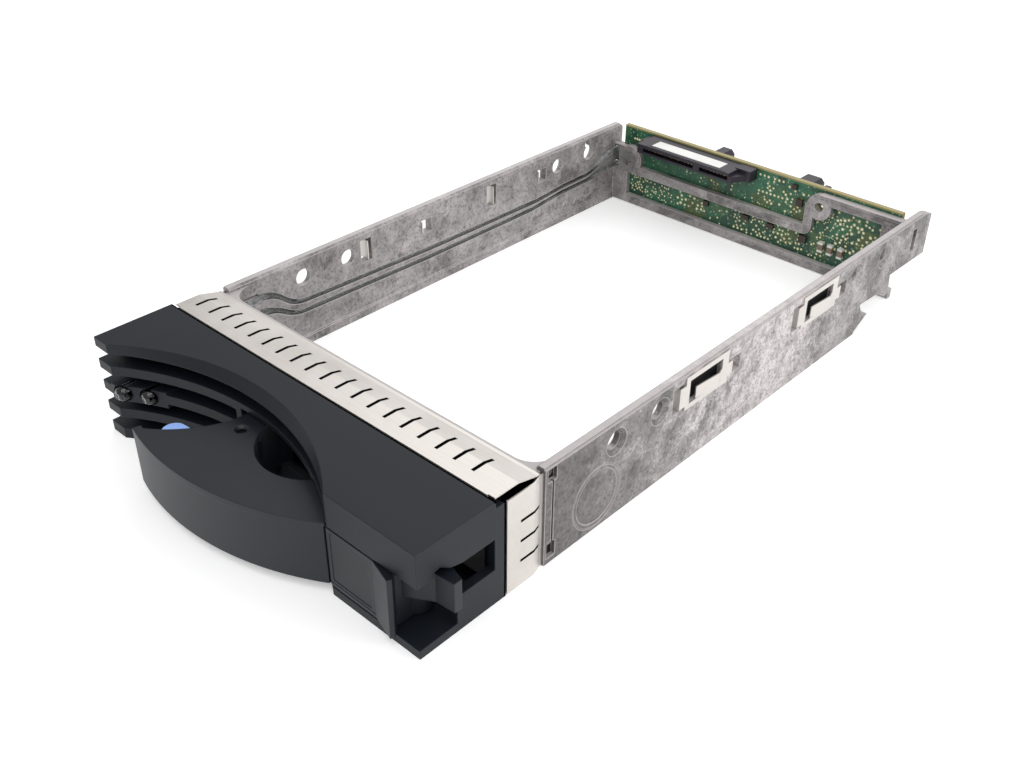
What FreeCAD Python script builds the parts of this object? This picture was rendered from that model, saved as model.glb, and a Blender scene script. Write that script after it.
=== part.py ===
"""Hot swap caddy for one 3.5 inch disk drive.

A die cast tray carries the drive by its side screw holes. A moulded bezel with a curved louvre
closes the front, a lever handle swings out of it on an upright pin, and an interposer board
joins the drive to the enclosure at the rear.

All values are millimetres. While the pieces are made, X points right, Y points back from the
bezel's front face and Z points up from the underside. The finished pieces are moved so that the
origin lies below the middle of the whole caddy.
"""
import FreeCAD
import Part
import math
import os

# Drive that the tray carries, board side up
drive_width = 101.6
drive_hole_spacing = 101.6
drive_hole_from_rear = 28.5
drive_second_hole_from_rear = 13.2
drive_hole_below_top = 6.35
drive_above_rail = 0.85
drive_side_gap = 0.6
drive_end_gap = 0.6
drive_plug_depth = 6.85

# Rails of the die cast tray
rail_wall = 2.6
rail_height = 25.6
rail_behind_strip = 2.0
rail_edge_step = 0.45
rail_edge_chamfer = 0.6
rail_lip = 0.4
rail_lip_height = 2.8
bay_length = 153.4
right_tail_length = 12.4
right_tail_foot = 11.7
left_tail_length = 3.8
tail_chamfer = 1.4
screw_hole_radius = 2.3
screw_head_radius = 3.4
screw_head_depth = 1.1
keyhole_radius = 1.3
keyhole_rise = 3.1
low_hole_radius = 1.7
low_hole_z = 6.3
lock_slot = (2.4, 4.8)
lock_slot_z = (15.2, 22.2)
corner_pocket_y = (0.7, 3.4)
corner_pocket_depth = 1.1
corner_pocket_height = 4.0
corner_pocket_inset = 1.4
corner_groove = 0.6
corner_hole_radius = 0.9
corner_fillet = 6.0
date_ring_y = 16.8
date_ring_z = 8.8
date_ring_radius = 8.0
date_ring_width = 0.3
date_ring_depth = 0.15

# Tail of the right rail below the board: distance behind the frame's front face, and height
tail_outline = ((-24.5, 0.0), (-24.5, 0.7), (-17.8, 3.9), (-22.1, 6.3), (-23.5, 8.9), (-13.7, 8.4),
                (-8.7, 5.6), (-6.7, 6.4), (-7.7, 12.0))

# Front box and rear window frame of the tray
nose_front_gap = 0.7
nose_wall = 1.6
nose_rear_wall = 2.0
nose_below_roof = 0.5
nose_above_floor = 0.1
vent_count = 11
vent_pitch = 8.0
vent_width = 6.0
vent_rows_z = (5.0, 13.5)
vent_height = 6.5
frame_thickness = 1.8
frame_foot = 0.2
frame_bar = 2.9
frame_bar_z = 10.9
frame_post = 5.9
frame_right_post = 3.0
frame_top_drop = 3.6
frame_top_bar = 3.0
frame_ledge = 0.7
frame_ledge_height = 0.8
boss_x = 25.3
boss_drop = 4.8
boss_radius = 4.0
boss_hole_radius = 1.4
leg_x = 22.3
left_boss_inset = 6.7
left_boss_z = 15.6
left_boss_radius = 4.5
left_plate_z = (11.1, 19.6)

# Bezel
bezel_rise = 0.7
bezel_top_depth = 20.9
bezel_side_extra = 2.8
bezel_wall = 2.1
bezel_roof = 2.3
bezel_floor = 2.15
side_step = 0.15
fin_count = 5
fin_thickness = 2.45
fin_depth = 6.0
lowest_fin_top = 2.8
scoop_left_inset = 5.15
scoop_depth = 11.9
scoop_roof_depth = 13.8
rib_x = -16.0
rib_thickness = 1.8
panel_width = 14.9
skin_overlap = 5.0
window_bottom_z = 9.1
window_front_y = 11.4
window_rear_wall = 0.3
window_below_grip = 1.4
snap_y = (1.2, 0.2)
snap_z = (8.3, 15.7)
snap_reach = 0.8
snap_play = 0.3
shoulder_height = 1.6
shoulder_gap = 0.15
pivot_web_gap = 0.5
strike_y = (6.6, 8.4)
strike_x = (-0.65, 0.75)
strike_gap = 1.0

# Lever handle
pivot_inset = 10.65
pivot_y = 8.5
pivot_pin_radius = 1.5
pivot_pin_end = 0.8
hub_radius = 4.2
running_gap = 0.05
grip_below_top = 7.9
grip_floor_gap = 0.45
grip_wall = 2.0
grip_plate = 1.5
grip_bulge = 10.8
grip_foot_bulge = 10.4
grip_left_x = -26.8
grip_foot_left_x = -28.4
grip_centre_x = -8.94
grip_side_gap = 0.7
grip_rear_y = 20.0
hub_below_grip = 0.8
swing_radius = 17.5
finger_hole_x = 6.0
finger_hole_y = 15.5
finger_hole_radius = 12.8
finger_hole_rear_y = 18.0
finger_wall = 1.2
finger_skirt_z = 6.0
panel_thickness = 2.2
lug_thickness = 2.0
label_width = 11.6
label_margin = 0.8
label_depth = 0.35
label_thickness = 0.25
panel_groove_z = 0.9
panel_groove = 0.25
flare_reach = 1.9
claw_reach = 2.9
claw_gap = 0.3
claw_width = 2.0

# Release latch
latch_x = -9.35
latch_y = 7.6
latch_thickness = 2.4
latch_pin_radius = 1.0
latch_hub_radius = 3.0
latch_clearance = 0.2
latch_floor = 1.8
latch_tab = (-12.45, -9.1)
latch_elbow = (-5.65, -8.6)
latch_hook = (-3.0, 9.6)
latch_tab_radius = 2.7
latch_arm_radius = 1.8
latch_bar_radius = 0.8
latch_barb = 2.05

# Springs
spring_turns = 3
handle_spring_radius = 2.4
handle_spring_wire = 0.6
handle_spring_length = 4.7
latch_spring_radius = 1.5
latch_spring_wire = 0.5
latch_spring_length = 2.9

# Contact strips and spring clips
sheet = 0.3
strip_gap = 0.35
strip_tuck = 5.0
strip_side_gap = 0.7
strip_flat = 7.2
strip_drop = 1.4
strip_run = 12.5
strip_end = 0.8
strip_side_end = 0.5
slit_pitch = 5.2
slit_count = 19
slit_side_count = 3
slit_width = 0.6
slit_length = 6.0
slit_start = 3.7
slit_side_z = 6.6
strip_bend = 1.3
strip_fold_in = 0.75
clip_crest = 0.9
clip_behind_hole = 4.5
clip_before_hole = 32.1
clip_span = 22.7
clip_slot_length = 4.0
clip_front_slot_drop = (9.1, 2.3)
clip_rear_slot_drop = (8.4, 4.2)
clip_leaf_drop = (9.7, 0.9)
clip_window_drop = (8.4, 2.2)
clip_tongue_drop = 5.0
clip_window_y = (5.9, 18.6)
clip_hook_inset = 2.2
clip_pocket_depth = 1.0

# Interposer board and connectors
board_thickness = 1.6
board_bottom_z = 1.5
board_above_rail = 0.6
board_left_inset = 2.8
board_right_inset = 1.3
board_tab_inset = 0.4
board_notch = (2.9, 8.0)
plug_below_rail = 0.0
plug_height = 3.0
plug_left_x = -36.6
plug_right_x = -2.0
plug_slot_depth = 5.5
plug_slot_left = (2.2, 21.6)
plug_slot_right = (23.9, 34.3)
plug_slot_wall = 0.7
plug_roof = 1.0
plug_arm = 1.6
plug_ear_y = 5.0
plug_ear = 4.4
contact_pitch = 1.27
contact_width = 0.6
contact_height = 0.35
power_contacts = 15
signal_contacts = 7
cap_x = (-32.0, -6.4)
cap_y = (1.5, 5.9)
cap_thickness = 0.15
tower_depth = 5.3
tower_chamfer = 1.2
tower_left_x = (-16.0, -10.5)
tower_right_x = (14.5, 21.5)
tower_small_x = (23.6, 25.4)
tower_small_depth = 2.4
tower_foot_z = 8.0
rear_plug_depth = 7.2
rear_plug_x = (-11.0, 15.0)
rear_plug_z = (9.5, 21.0)
rear_slot_z = (13.6, 17.0)
rear_slot_wall = 1.5
rear_slot_depth = 4.8
rear_contact_count = 20
rear_contact_pitch = 1.12
screw_head_size = 2.6
screw_shank_size = 1.25
screw_recess = 1.5
screw_recess_half = 0.3
capacitor_xs = (27.5, 30.6, 34.0)
capacitor_size = (1.6, 1.4, 3.2)
capacitor_z = 8.3
chip_height = 0.9

# Small packages on the board: middle across, middle height, width and height
chips = ((-14.4, 9.0, 1.8, 1.5), (0.4, 9.0, 2.6, 1.5), (9.5, 9.0, 2.4, 1.5), (18.2, 19.6, 2.0, 2.2),
         (21.0, 8.6, 2.4, 2.4), (15.9, 24.0, 1.6, 1.4))

# Light pipes
pipe_radius = 0.85
pipe_play = 0.15
pipe_end_gap = 1.3
lens_radius = 2.1
lens_below_fin = 1.45
lens_seat = 3.5
lens_proud = 0.35
lens_insets = (1.4, 7.2)
lens_block_insets = (-1.5, 11.6)
lens_block = (2.2, 2.1)
led_size = (1.2, 1.0, 1.6)
bend_radius = 12.0

# Courses of the pipes against the rail: distance behind its front end, and height
front_courses = {"upper": ((4.6, 19.4), (12.4, 19.4), (19.2, 13.4), (68.6, 11.8)),
                 "lower": ((4.6, 15.6), (12.4, 14.6), (19.2, 10.4), (68.6, 9.2))}

# Their rear runs: distance before the rear frame, and height
rear_courses = {"upper": ((38.8, 11.4), (26.8, 12.3), (12.8, 12.6)),
                "lower": ((40.8, 9.2), (28.8, 10.3), (12.8, 10.6))}
pipe_rear_z = {"upper": 17.9, "lower": 12.9}

# Places worked out from the values above
strip_rear_y = bezel_top_depth + strip_run
strip_bend_y = strip_rear_y - strip_bend
rail_front_y = strip_rear_y + rail_behind_strip
frame_front_y = rail_front_y + bay_length
tray_rear_y = frame_front_y + right_tail_length
board_y = frame_front_y + frame_thickness
board_rear_y = board_y + board_thickness
drive_rear_y = frame_front_y - drive_end_gap
second_hole_y = drive_rear_y - drive_second_hole_from_rear - drive_hole_spacing
third_hole_y = drive_rear_y - drive_hole_from_rear
clip_front_ys = (second_hole_y + clip_behind_hole, third_hole_y - clip_before_hole)
plug_front_y = drive_rear_y - drive_plug_depth
rail_inner_x = drive_width / 2 + drive_side_gap
rail_outer_x = rail_inner_x + rail_wall
bezel_half = rail_outer_x + side_step
bezel_inner_x = bezel_half - bezel_wall
bezel_height = rail_height + bezel_rise
bezel_side_depth = bezel_top_depth + bezel_side_extra
fin_pitch = (bezel_height - lowest_fin_top) / (fin_count - 1)
second_fin_top = bezel_height - fin_pitch
third_fin_top = bezel_height - 2 * fin_pitch
lowest_fin_bottom = lowest_fin_top - fin_thickness
nose_half = bezel_inner_x - side_step
nose_front_y = bezel_top_depth + nose_front_gap
nose_top_z = bezel_height - bezel_roof - nose_below_roof
nose_bottom_z = bezel_floor + nose_above_floor
strip_top_z = bezel_height
strip_drop_z = bezel_height - strip_drop
wall_top_z = strip_drop_z - strip_gap - sheet
frame_top_z = (rail_height - frame_top_drop, rail_height - frame_top_drop + frame_top_bar)
boss_z = rail_height - boss_drop
clip_front_slot_z = (rail_height - clip_front_slot_drop[0], rail_height - clip_front_slot_drop[1])
clip_rear_slot_z = (rail_height - clip_rear_slot_drop[0], rail_height - clip_rear_slot_drop[1])
clip_leaf_z = (rail_height - clip_leaf_drop[0], rail_height - clip_leaf_drop[1])
clip_window_z = (rail_height - clip_window_drop[0], rail_height - clip_window_drop[1])
hole_z = rail_height + drive_above_rail - drive_hole_below_top
pivot_x = bezel_half - pivot_inset
scoop_left_x = scoop_left_inset - bezel_half
scoop_right_x = pivot_x - panel_width
grip_right_x = scoop_right_x - grip_side_gap
grip_top_z = bezel_height - grip_below_top
grip_bottom_z = bezel_floor + grip_floor_gap
plate_low_z = grip_top_z - grip_plate
hub_top_z = grip_top_z - hub_below_grip
hub_bottom_z = grip_bottom_z
window_top_z = grip_top_z - window_below_grip
claw_x = bezel_half + claw_reach
latch_floor_z = plate_low_z - latch_thickness - 2 * latch_clearance
clip_outer_x = rail_outer_x + clip_crest
left_boss_x = left_boss_inset - rail_inner_x
board_left_x = board_left_inset - rail_inner_x
board_right_x = rail_inner_x - board_right_inset
board_tab_x = board_tab_inset - rail_inner_x
board_top_z = rail_height + board_above_rail
plug_top_z = rail_height - plug_below_rail
lens_z = third_fin_top - lens_below_fin
lens_xs = (scoop_left_x + lens_insets[0], scoop_left_x + lens_insets[1])
lens_block_x = (scoop_left_x + lens_block_insets[0], scoop_left_x + lens_block_insets[1])
channel_x = -(rail_inner_x + pipe_radius - 0.1)
origin = FreeCAD.Vector((claw_x - clip_outer_x) / 2, (tray_rear_y - grip_bulge) / 2, 0)


def vec(x, y, z):
    return FreeCAD.Vector(x, y, z)


def box(x, y, z):
    """Block between the pairs x, y and z."""
    return Part.makeBox(x[1] - x[0], y[1] - y[0], z[1] - z[0], vec(x[0], y[0], z[0]))


def post(x, y, z, radius):
    """Upright cylinder, z as a pair."""
    return Part.makeCylinder(radius, z[1] - z[0], vec(x, y, z[0]))


def peg(x, y, z, radius):
    """Cylinder along X, x as a pair."""
    return Part.makeCylinder(radius, x[1] - x[0], vec(x[0], y, z), vec(1, 0, 0))


def rod(x, y, z, radius):
    """Cylinder along Y, y as a pair."""
    return Part.makeCylinder(radius, y[1] - y[0], vec(x, y[0], z), vec(0, 1, 0))


def polygon(points):
    return Part.makePolygon(points + points[:1])


def plan(points, z):
    """Outline of (x, y) points, raised between the pair z."""
    wire = polygon([vec(x, y, z[0]) for x, y in points])
    return Part.Face(wire).extrude(vec(0, 0, z[1] - z[0]))


def flank(points, x):
    """Outline of (y, z) points, carried across the pair x."""
    wire = polygon([vec(x[0], y, z) for y, z in points])
    return Part.Face(wire).extrude(vec(x[1] - x[0], 0, 0))


def front(points, y):
    """Outline of (x, z) points, carried back across the pair y."""
    wire = polygon([vec(x, y[0], z) for x, z in points])
    return Part.Face(wire).extrude(vec(0, y[1] - y[0], 0))


def capsule(start, end, radius, z):
    """Bar with round ends between two (x, y) points."""
    run = vec(end[0] - start[0], end[1] - start[1], 0)
    across = vec(-run.y, run.x, 0).normalize() * radius
    corners = [(start[0] + across.x, start[1] + across.y), (end[0] + across.x, end[1] + across.y),
               (end[0] - across.x, end[1] - across.y), (start[0] - across.x, start[1] - across.y)]
    return join(plan(corners, z), post(start[0], start[1], z, radius), post(end[0], end[1], z, radius))


def join(*shapes):
    if len(shapes) == 1:
        return shapes[0]
    return shapes[0].multiFuse(list(shapes[1:])).removeSplitter()


def cut(base, *tools):
    for tool in tools:
        base = base.cut(tool)
    return base


def grown(pair, by):
    """The pair made longer at both ends."""
    return (pair[0] - by, pair[1] + by)


def mirrored(shape):
    """The same piece on the other side of the caddy."""
    return shape.mirror(vec(0, 0, 0), vec(1, 0, 0))


def thick_path(points, thickness):
    """Outline of a folded sheet: the path and its offset to the left, mitred at each fold."""
    normals = []
    for a, b in zip(points, points[1:]):
        length = math.hypot(b[0] - a[0], b[1] - a[1])
        normals.append(((a[1] - b[1]) / length, (b[0] - a[0]) / length))
    offset = []
    for index, point in enumerate(points):
        before = normals[max(index - 1, 0)]
        after = normals[min(index, len(normals) - 1)]
        scale = thickness / (1 + before[0] * after[0] + before[1] * after[1])
        offset.append((point[0] + (before[0] + after[0]) * scale, point[1] + (before[1] + after[1]) * scale))
    return points + offset[::-1]


def scoop_wire(depth, z, extra=0.0):
    """Outline of the region in front of the louvre's arc at one height, moved back by extra."""
    left = scoop_left_x
    right = scoop_right_x
    far = -2 * grip_bulge
    crest = vec((left + right) / 2, extra + depth, z)
    arc = Part.Arc(vec(left, extra, z), crest, vec(right, extra, z)).toShape()
    edges = [arc, Part.makeLine(vec(right, extra, z), vec(right, far, z)),
             Part.makeLine(vec(right, far, z), vec(left, far, z)),
             Part.makeLine(vec(left, far, z), vec(left, extra, z))]
    return Part.Wire(Part.__sortEdges__(edges))


def scoop_block(z, extra=0.0):
    """Space in front of the louvre's arc between two heights."""
    return Part.Face(scoop_wire(scoop_depth, z[0], extra)).extrude(vec(0, 0, z[1] - z[0]))


def scoop_y(x):
    """Depth of the louvre's arc at one place across."""
    half = (scoop_right_x - scoop_left_x) / 2
    radius = (half ** 2 + scoop_depth ** 2) / (2 * scoop_depth)
    centre_x = (scoop_right_x + scoop_left_x) / 2
    return scoop_depth - radius + math.sqrt(radius ** 2 - (x - centre_x) ** 2)


def fin_top(index):
    """Upper face of a fin, counted from the top."""
    return bezel_height - index * fin_pitch


# Die cast tray

def rail_section():
    """Cross section of a rail: a lip inside the foot and a stepped edge outside the top."""
    inner = rail_inner_x
    outer = rail_outer_x
    top = rail_height
    return [(inner - rail_lip, 0), (outer, 0), (outer, top - rail_edge_step),
            (outer - rail_edge_step, top - rail_edge_step), (outer - rail_edge_step, top),
            (inner + rail_edge_chamfer, top), (inner, top - rail_edge_chamfer),
            (inner, rail_lip_height), (inner - rail_lip, rail_lip_height - rail_lip)]


def right_tail_outline():
    tail = [(frame_front_y + y, z) for y, z in tail_outline]
    return [(rail_front_y, 0)] + tail + [
        (tray_rear_y, right_tail_foot), (tray_rear_y, rail_height - tail_chamfer),
        (tray_rear_y - 3.7 * tail_chamfer, rail_height), (rail_front_y, rail_height)]


def left_tail_outline():
    rear = frame_front_y + left_tail_length
    return [(rail_front_y, 0), (rear, 0), (rear, rail_height - tail_chamfer),
            (rear - tail_chamfer, rail_height), (rail_front_y, rail_height)]


def drive_hole_ys():
    """The four side holes of a rail, two sets one hole spacing apart."""
    first = drive_rear_y - drive_hole_from_rear
    second = drive_rear_y - drive_second_hole_from_rear
    return [first - drive_hole_spacing, second - drive_hole_spacing, first, second]


def countersunk_hole(y):
    """Drive screw hole with its cone on the rail's outer face."""
    through = grown((rail_inner_x, rail_outer_x), 1)
    hole = peg(through, y, hole_z, screw_hole_radius)
    cone = Part.makeCone(screw_hole_radius, screw_head_radius, screw_head_depth,
                         vec(rail_outer_x - screw_head_depth, y, hole_z), vec(1, 0, 0))
    return join(hole, cone, peg((rail_outer_x, rail_outer_x + 1), y, hole_z, screw_head_radius))


def clip_cuts(start):
    """Two slots that a clip hooks through, and the pocket that its tongue moves into."""
    wide = grown((rail_inner_x, rail_outer_x), 1)
    rear = start + clip_span
    pocket = (rail_outer_x - clip_pocket_depth, rail_outer_x + 1)
    return [box(wide, (start, start + clip_slot_length), clip_front_slot_z),
            box(wide, (rear, rear + clip_slot_length), clip_rear_slot_z),
            box(pocket, (start + clip_window_y[0], start + clip_window_y[1]), clip_window_z)]


def corner_cuts():
    """Two pockets and the groove between them at the rail's front end, with a hole in the upper pocket."""
    sunk = (rail_outer_x - corner_pocket_depth, rail_outer_x + 1)
    near = rail_front_y + corner_pocket_y[0]
    far = rail_front_y + corner_pocket_y[1]
    low = (corner_pocket_inset, corner_pocket_inset + corner_pocket_height)
    high = (rail_height - corner_pocket_height, rail_height - corner_pocket_inset / 2)
    groove_y = (near + far) / 2
    groove = box((rail_outer_x - corner_groove, rail_outer_x + 1), (groove_y, groove_y + corner_groove),
                 (low[0], high[1]))
    through = grown((rail_inner_x, rail_outer_x), 1)
    hole = peg(through, groove_y, (high[0] + high[1]) / 2, corner_hole_radius)
    return [box(sunk, (near, far), low), box(sunk, (near, far), high), groove, hole]


def date_ring():
    """Shallow ring left by the bare insert of the mould."""
    sunk = (rail_outer_x - date_ring_depth, rail_outer_x + 1)
    y = rail_front_y + date_ring_y
    outer = peg(sunk, y, date_ring_z, date_ring_radius)
    inner = peg(grown(sunk, 1), y, date_ring_z, date_ring_radius - date_ring_width)
    plate = peg(sunk, y, date_ring_z, date_ring_radius - 4 * date_ring_width)
    return [outer.cut(inner), plate]


def rail(outline):
    """Rail with everything that both sides share."""
    body = front(rail_section(), (rail_front_y, tray_rear_y))
    body = body.common(flank(outline, grown((rail_inner_x, rail_outer_x), 2)))
    tools = [countersunk_hole(y) for y in drive_hole_ys()] + corner_cuts()
    for start in clip_front_ys:
        tools += clip_cuts(start)
    return cut(body, *tools)


def corner_fill():
    """Rounded web between a rail and the front box."""
    x = (rail_inner_x - corner_fillet, rail_inner_x + 1)
    y = (rail_front_y - 1, rail_front_y + corner_fillet)
    z = (0, wall_top_z)
    return cut(box(x, y, z), post(x[0], y[1], grown(z, 1), corner_fillet))


def right_rail():
    slot = box(grown((rail_inner_x, rail_outer_x), 1),
               (frame_front_y + lock_slot[0], frame_front_y + lock_slot[1]), lock_slot_z)
    return join(cut(rail(right_tail_outline()), slot, *date_ring()), corner_fill())


def left_rail():
    """Left rail with the channels of the light pipes and a keyhole over its last screw hole."""
    wide = grown((-rail_outer_x, -rail_inner_x), 2)
    last_y = drive_hole_ys()[3]
    keyhole = peg(wide, last_y - 0.5, hole_z + keyhole_rise, keyhole_radius)
    low_hole = peg(wide, last_y, low_hole_z, low_hole_radius)
    thin_slot = box(wide, (rail_front_y + 3.8, rail_front_y + 8.2), (hole_z + 0.2, hole_z + 0.8))
    body = join(mirrored(rail(left_tail_outline())), mirrored(corner_fill()))
    reach = pipe_radius + pipe_play
    channels = [sweep_round(pipe_path(name), reach) for name in ("upper", "lower")]
    pipe_room = box((-rail_inner_x, -rail_inner_x + corner_fillet + 1),
                    (rail_front_y - 2, rail_front_y + corner_fillet + 1), pipe_opening_z())
    return cut(body, keyhole, low_hole, thin_slot, pipe_room, *channels)


def pipe_opening_z():
    """Height that the light pipes need where they leave the front box."""
    return (lens_z - 3.4, hole_z + 1.5)


def rear_frame():
    """Window frame that the board is screwed to, its middle bar bent up to a boss."""
    depth = (frame_front_y, board_y)
    inner = rail_inner_x
    bar_top = frame_bar_z + frame_bar
    leg = (leg_x - frame_bar / 2, leg_x + frame_bar / 2)
    top = frame_top_z[1]
    through = grown(depth, 1)
    inside_bend = box((leg[0] - frame_bar - 1, leg[0]), through, (bar_top, bar_top + frame_bar + 1))
    bars = [box((-inner, inner), depth, (frame_foot, frame_foot + frame_bar)),
            box((-inner, frame_post - inner), depth, (frame_foot, left_plate_z[0] + 1)),
            box((inner - frame_post, inner - frame_post + frame_right_post), depth, (frame_foot, top)),
            box((left_boss_x, leg[0]), depth, (frame_bar_z, bar_top)),
            box(leg, depth, (bar_top, boss_z)),
            rod(leg[0], depth, bar_top, frame_bar).cut(inside_bend),
            box((boss_x, inner), depth, frame_top_z),
            box((boss_x, inner), (frame_front_y - frame_ledge, board_y), (top - frame_ledge_height, top)),
            rod(boss_x, depth, boss_z, boss_radius),
            rod(left_boss_x, depth, left_boss_z, left_boss_radius),
            box((-inner, left_boss_x), depth, left_plate_z)]
    window = box((-inner - 1, board_left_x - 0.8), through,
                 (pipe_rear_z["lower"] - pipe_end_gap, pipe_rear_z["upper"] + pipe_end_gap))
    return cut(join(*bars), rod(boss_x, through, boss_z, boss_hole_radius),
               rod(left_boss_x, through, left_boss_z, screw_shank_size + running_gap), window)


def nose():
    """Open front box that the bezel slides on, closed behind by a vented wall."""
    wall_y = (rail_front_y - nose_rear_wall, rail_front_y)
    through = grown(wall_y, 1)
    z = (nose_bottom_z, nose_top_z)
    shell = box((-nose_half, nose_half), (nose_front_y, rail_front_y), z)
    inside = box(grown((-nose_half, nose_half), -nose_wall), (nose_front_y - 1, wall_y[0]),
                 grown(z, -nose_wall))
    rear = box((-nose_half, nose_half), wall_y, (0, wall_top_z))
    tools = [inside]
    for low in vent_rows_z:
        for index in range(vent_count):
            x = (index - (vent_count - 1) / 2) * vent_pitch
            tools.append(box((x - vent_width / 2, x + vent_width / 2), through, (low, low + vent_height)))
    tools.append(box((-rail_inner_x + 0.8, -rail_inner_x + corner_fillet), through, pipe_opening_z()))
    snap_front = bezel_side_depth - snap_y[0] - snap_play
    snap_rear = bezel_side_depth - snap_y[1] + snap_play
    for x in (-nose_half, nose_half):
        tools.append(box((x - 2, x + 2), (snap_front, snap_rear), grown(snap_z, snap_play)))
    return cut(join(shell, rear), *tools)


def tray_casting():
    return join(right_rail(), left_rail(), nose(), rear_frame())


# Bezel

def bezel_side_opening():
    """Opening of the right side: front corner, claw slot and window, as (y, z) points."""
    rear = bezel_top_depth - window_rear_wall
    top = window_top_z
    lintel = grip_top_z - grip_side_gap / 2
    return [(-1, bezel_floor), (pivot_y + 1.6, bezel_floor), (pivot_y + 1.6, bezel_floor + 3.15),
            (window_front_y, window_bottom_z), (rear, window_bottom_z), (rear, top),
            (window_front_y + 0.5, top), (pivot_y + 1.3, top + 0.5), (pivot_y, top + 0.8),
            (pivot_y - 2.5, grip_top_z + 1.25), (pivot_y - 4.05, grip_top_z + 0.9),
            (pivot_y - 4.1, lintel), (-1, lintel)]


def bezel_shell():
    """Hollow block: roof, floor, sides and front skin, with a shoulder under each strip corner."""
    block = box((-bezel_half, bezel_half), (0, bezel_side_depth), (0, bezel_height))
    inside_x = (-bezel_inner_x, bezel_inner_x)
    roof_z = bezel_height - bezel_roof
    hollow = box(inside_x, (bezel_wall, bezel_side_depth + 1), (bezel_floor, roof_z))
    step_z = strip_drop_z - sheet
    behind_roof = box(grown((-bezel_half, bezel_half), 1), (bezel_top_depth, bezel_side_depth + 1),
                      (step_z, bezel_height + 1))
    between_sides = box(inside_x, (bezel_top_depth, bezel_side_depth + 1), (-1, bezel_height + 1))
    shell = cut(block, hollow, behind_roof, between_sides)
    shoulders = []
    top = strip_drop_z - strip_side_end - sheet
    for sign in (-1, 1):
        near = sign * (nose_half + shoulder_gap)
        far = sign * (bezel_half - sheet - shoulder_gap)
        x = (min(near, far), max(near, far))
        y = (bezel_side_depth - 1, strip_bend_y - shoulder_gap)
        shoulders.append(box(x, y, (top - shoulder_height, top)))
    return join(shell, *shoulders)


def louvre():
    """Five curved fins behind one arc, the lower ones ending at an upright rib."""
    band = Part.Face(scoop_wire(scoop_depth, 0, fin_depth)).cut(Part.Face(scoop_wire(scoop_depth, 0)))
    left = Part.Face(polygon([vec(-bezel_half, 0, 0), vec(scoop_left_x, 0, 0),
                              vec(scoop_left_x, fin_depth, 0), vec(-bezel_half, fin_depth, 0)]))
    deep = scoop_depth + fin_depth
    keep = box((-bezel_half, scoop_right_x), (0, deep + 1), (-1, bezel_height))
    wall = band.fuse(left).extrude(vec(0, 0, bezel_height)).common(keep)
    through = (-1, deep + 1)
    tools = []
    for index in range(fin_count - 1):
        gap = (fin_top(index + 1), fin_top(index) - fin_thickness)
        tools.append(box((-bezel_half - 1, scoop_right_x + 1), through, gap))
    pocket_z = (lowest_fin_top, second_fin_top - grip_side_gap * 2)
    low_z = (bezel_floor, pocket_z[1])
    tools.append(box((rib_x + rib_thickness / 2, scoop_right_x + 1), through, pocket_z))
    tools.append(box((scoop_right_x - skin_overlap - 1, scoop_right_x + 1), through, low_z))
    tools.append(box((-bezel_half - 1, scoop_right_x + 1), through, (-1, lowest_fin_bottom)))
    return cut(wall, *tools)


def bezel_rib():
    """Upright rib where the short fins end."""
    x = (rib_x - rib_thickness / 2, rib_x + rib_thickness / 2)
    block = box(x, (0, scoop_depth + fin_depth), (lowest_fin_top - 1, second_fin_top - fin_thickness + 0.5))
    return block.cut(scoop_block((-1, bezel_height)))


def lens_block_piece():
    """Block that holds the two lenses, flush with the arc."""
    block = box(lens_block_x, (0, scoop_depth + fin_depth), (lens_z - lens_block[0], lens_z + lens_block[1]))
    return block.cut(scoop_block((-1, bezel_height)))


def pivot_web():
    """Shelf behind the top band that holds the upper end of the pivot pin."""
    return box((scoop_right_x, bezel_inner_x), (pivot_web_gap, bezel_top_depth),
               (grip_top_z + pivot_web_gap, second_fin_top))


def front_opening():
    """Opening for the handle's panel and the grip's right end."""
    lintel = grip_top_z - grip_side_gap / 2
    skin_y = (-1, bezel_wall + 0.1)
    panel = box((scoop_right_x - skin_overlap, bezel_half + 1), skin_y, (bezel_floor, lintel))
    over_grip = box((scoop_right_x - skin_overlap, scoop_right_x), skin_y,
                    (window_bottom_z, grip_top_z + 0.6))
    return join(panel, over_grip)


def latch_strike():
    """Upright rib that the latch hooks behind."""
    return box((latch_x + strike_x[0], latch_x + strike_x[1]), (latch_y + strike_y[0], latch_y + strike_y[1]),
               (bezel_floor - 0.5, hub_top_z - grip_plate - strike_gap))


def snaps():
    """Ribs inside the side walls that snap into the tray's front box."""
    made = []
    for sign in (-1, 1):
        near = sign * (bezel_inner_x - 0.5)
        far = sign * (bezel_inner_x + snap_reach)
        made.append(box((min(near, far), max(near, far)),
                        (bezel_side_depth - snap_y[0], bezel_side_depth - snap_y[1]), snap_z))
    return made


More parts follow.
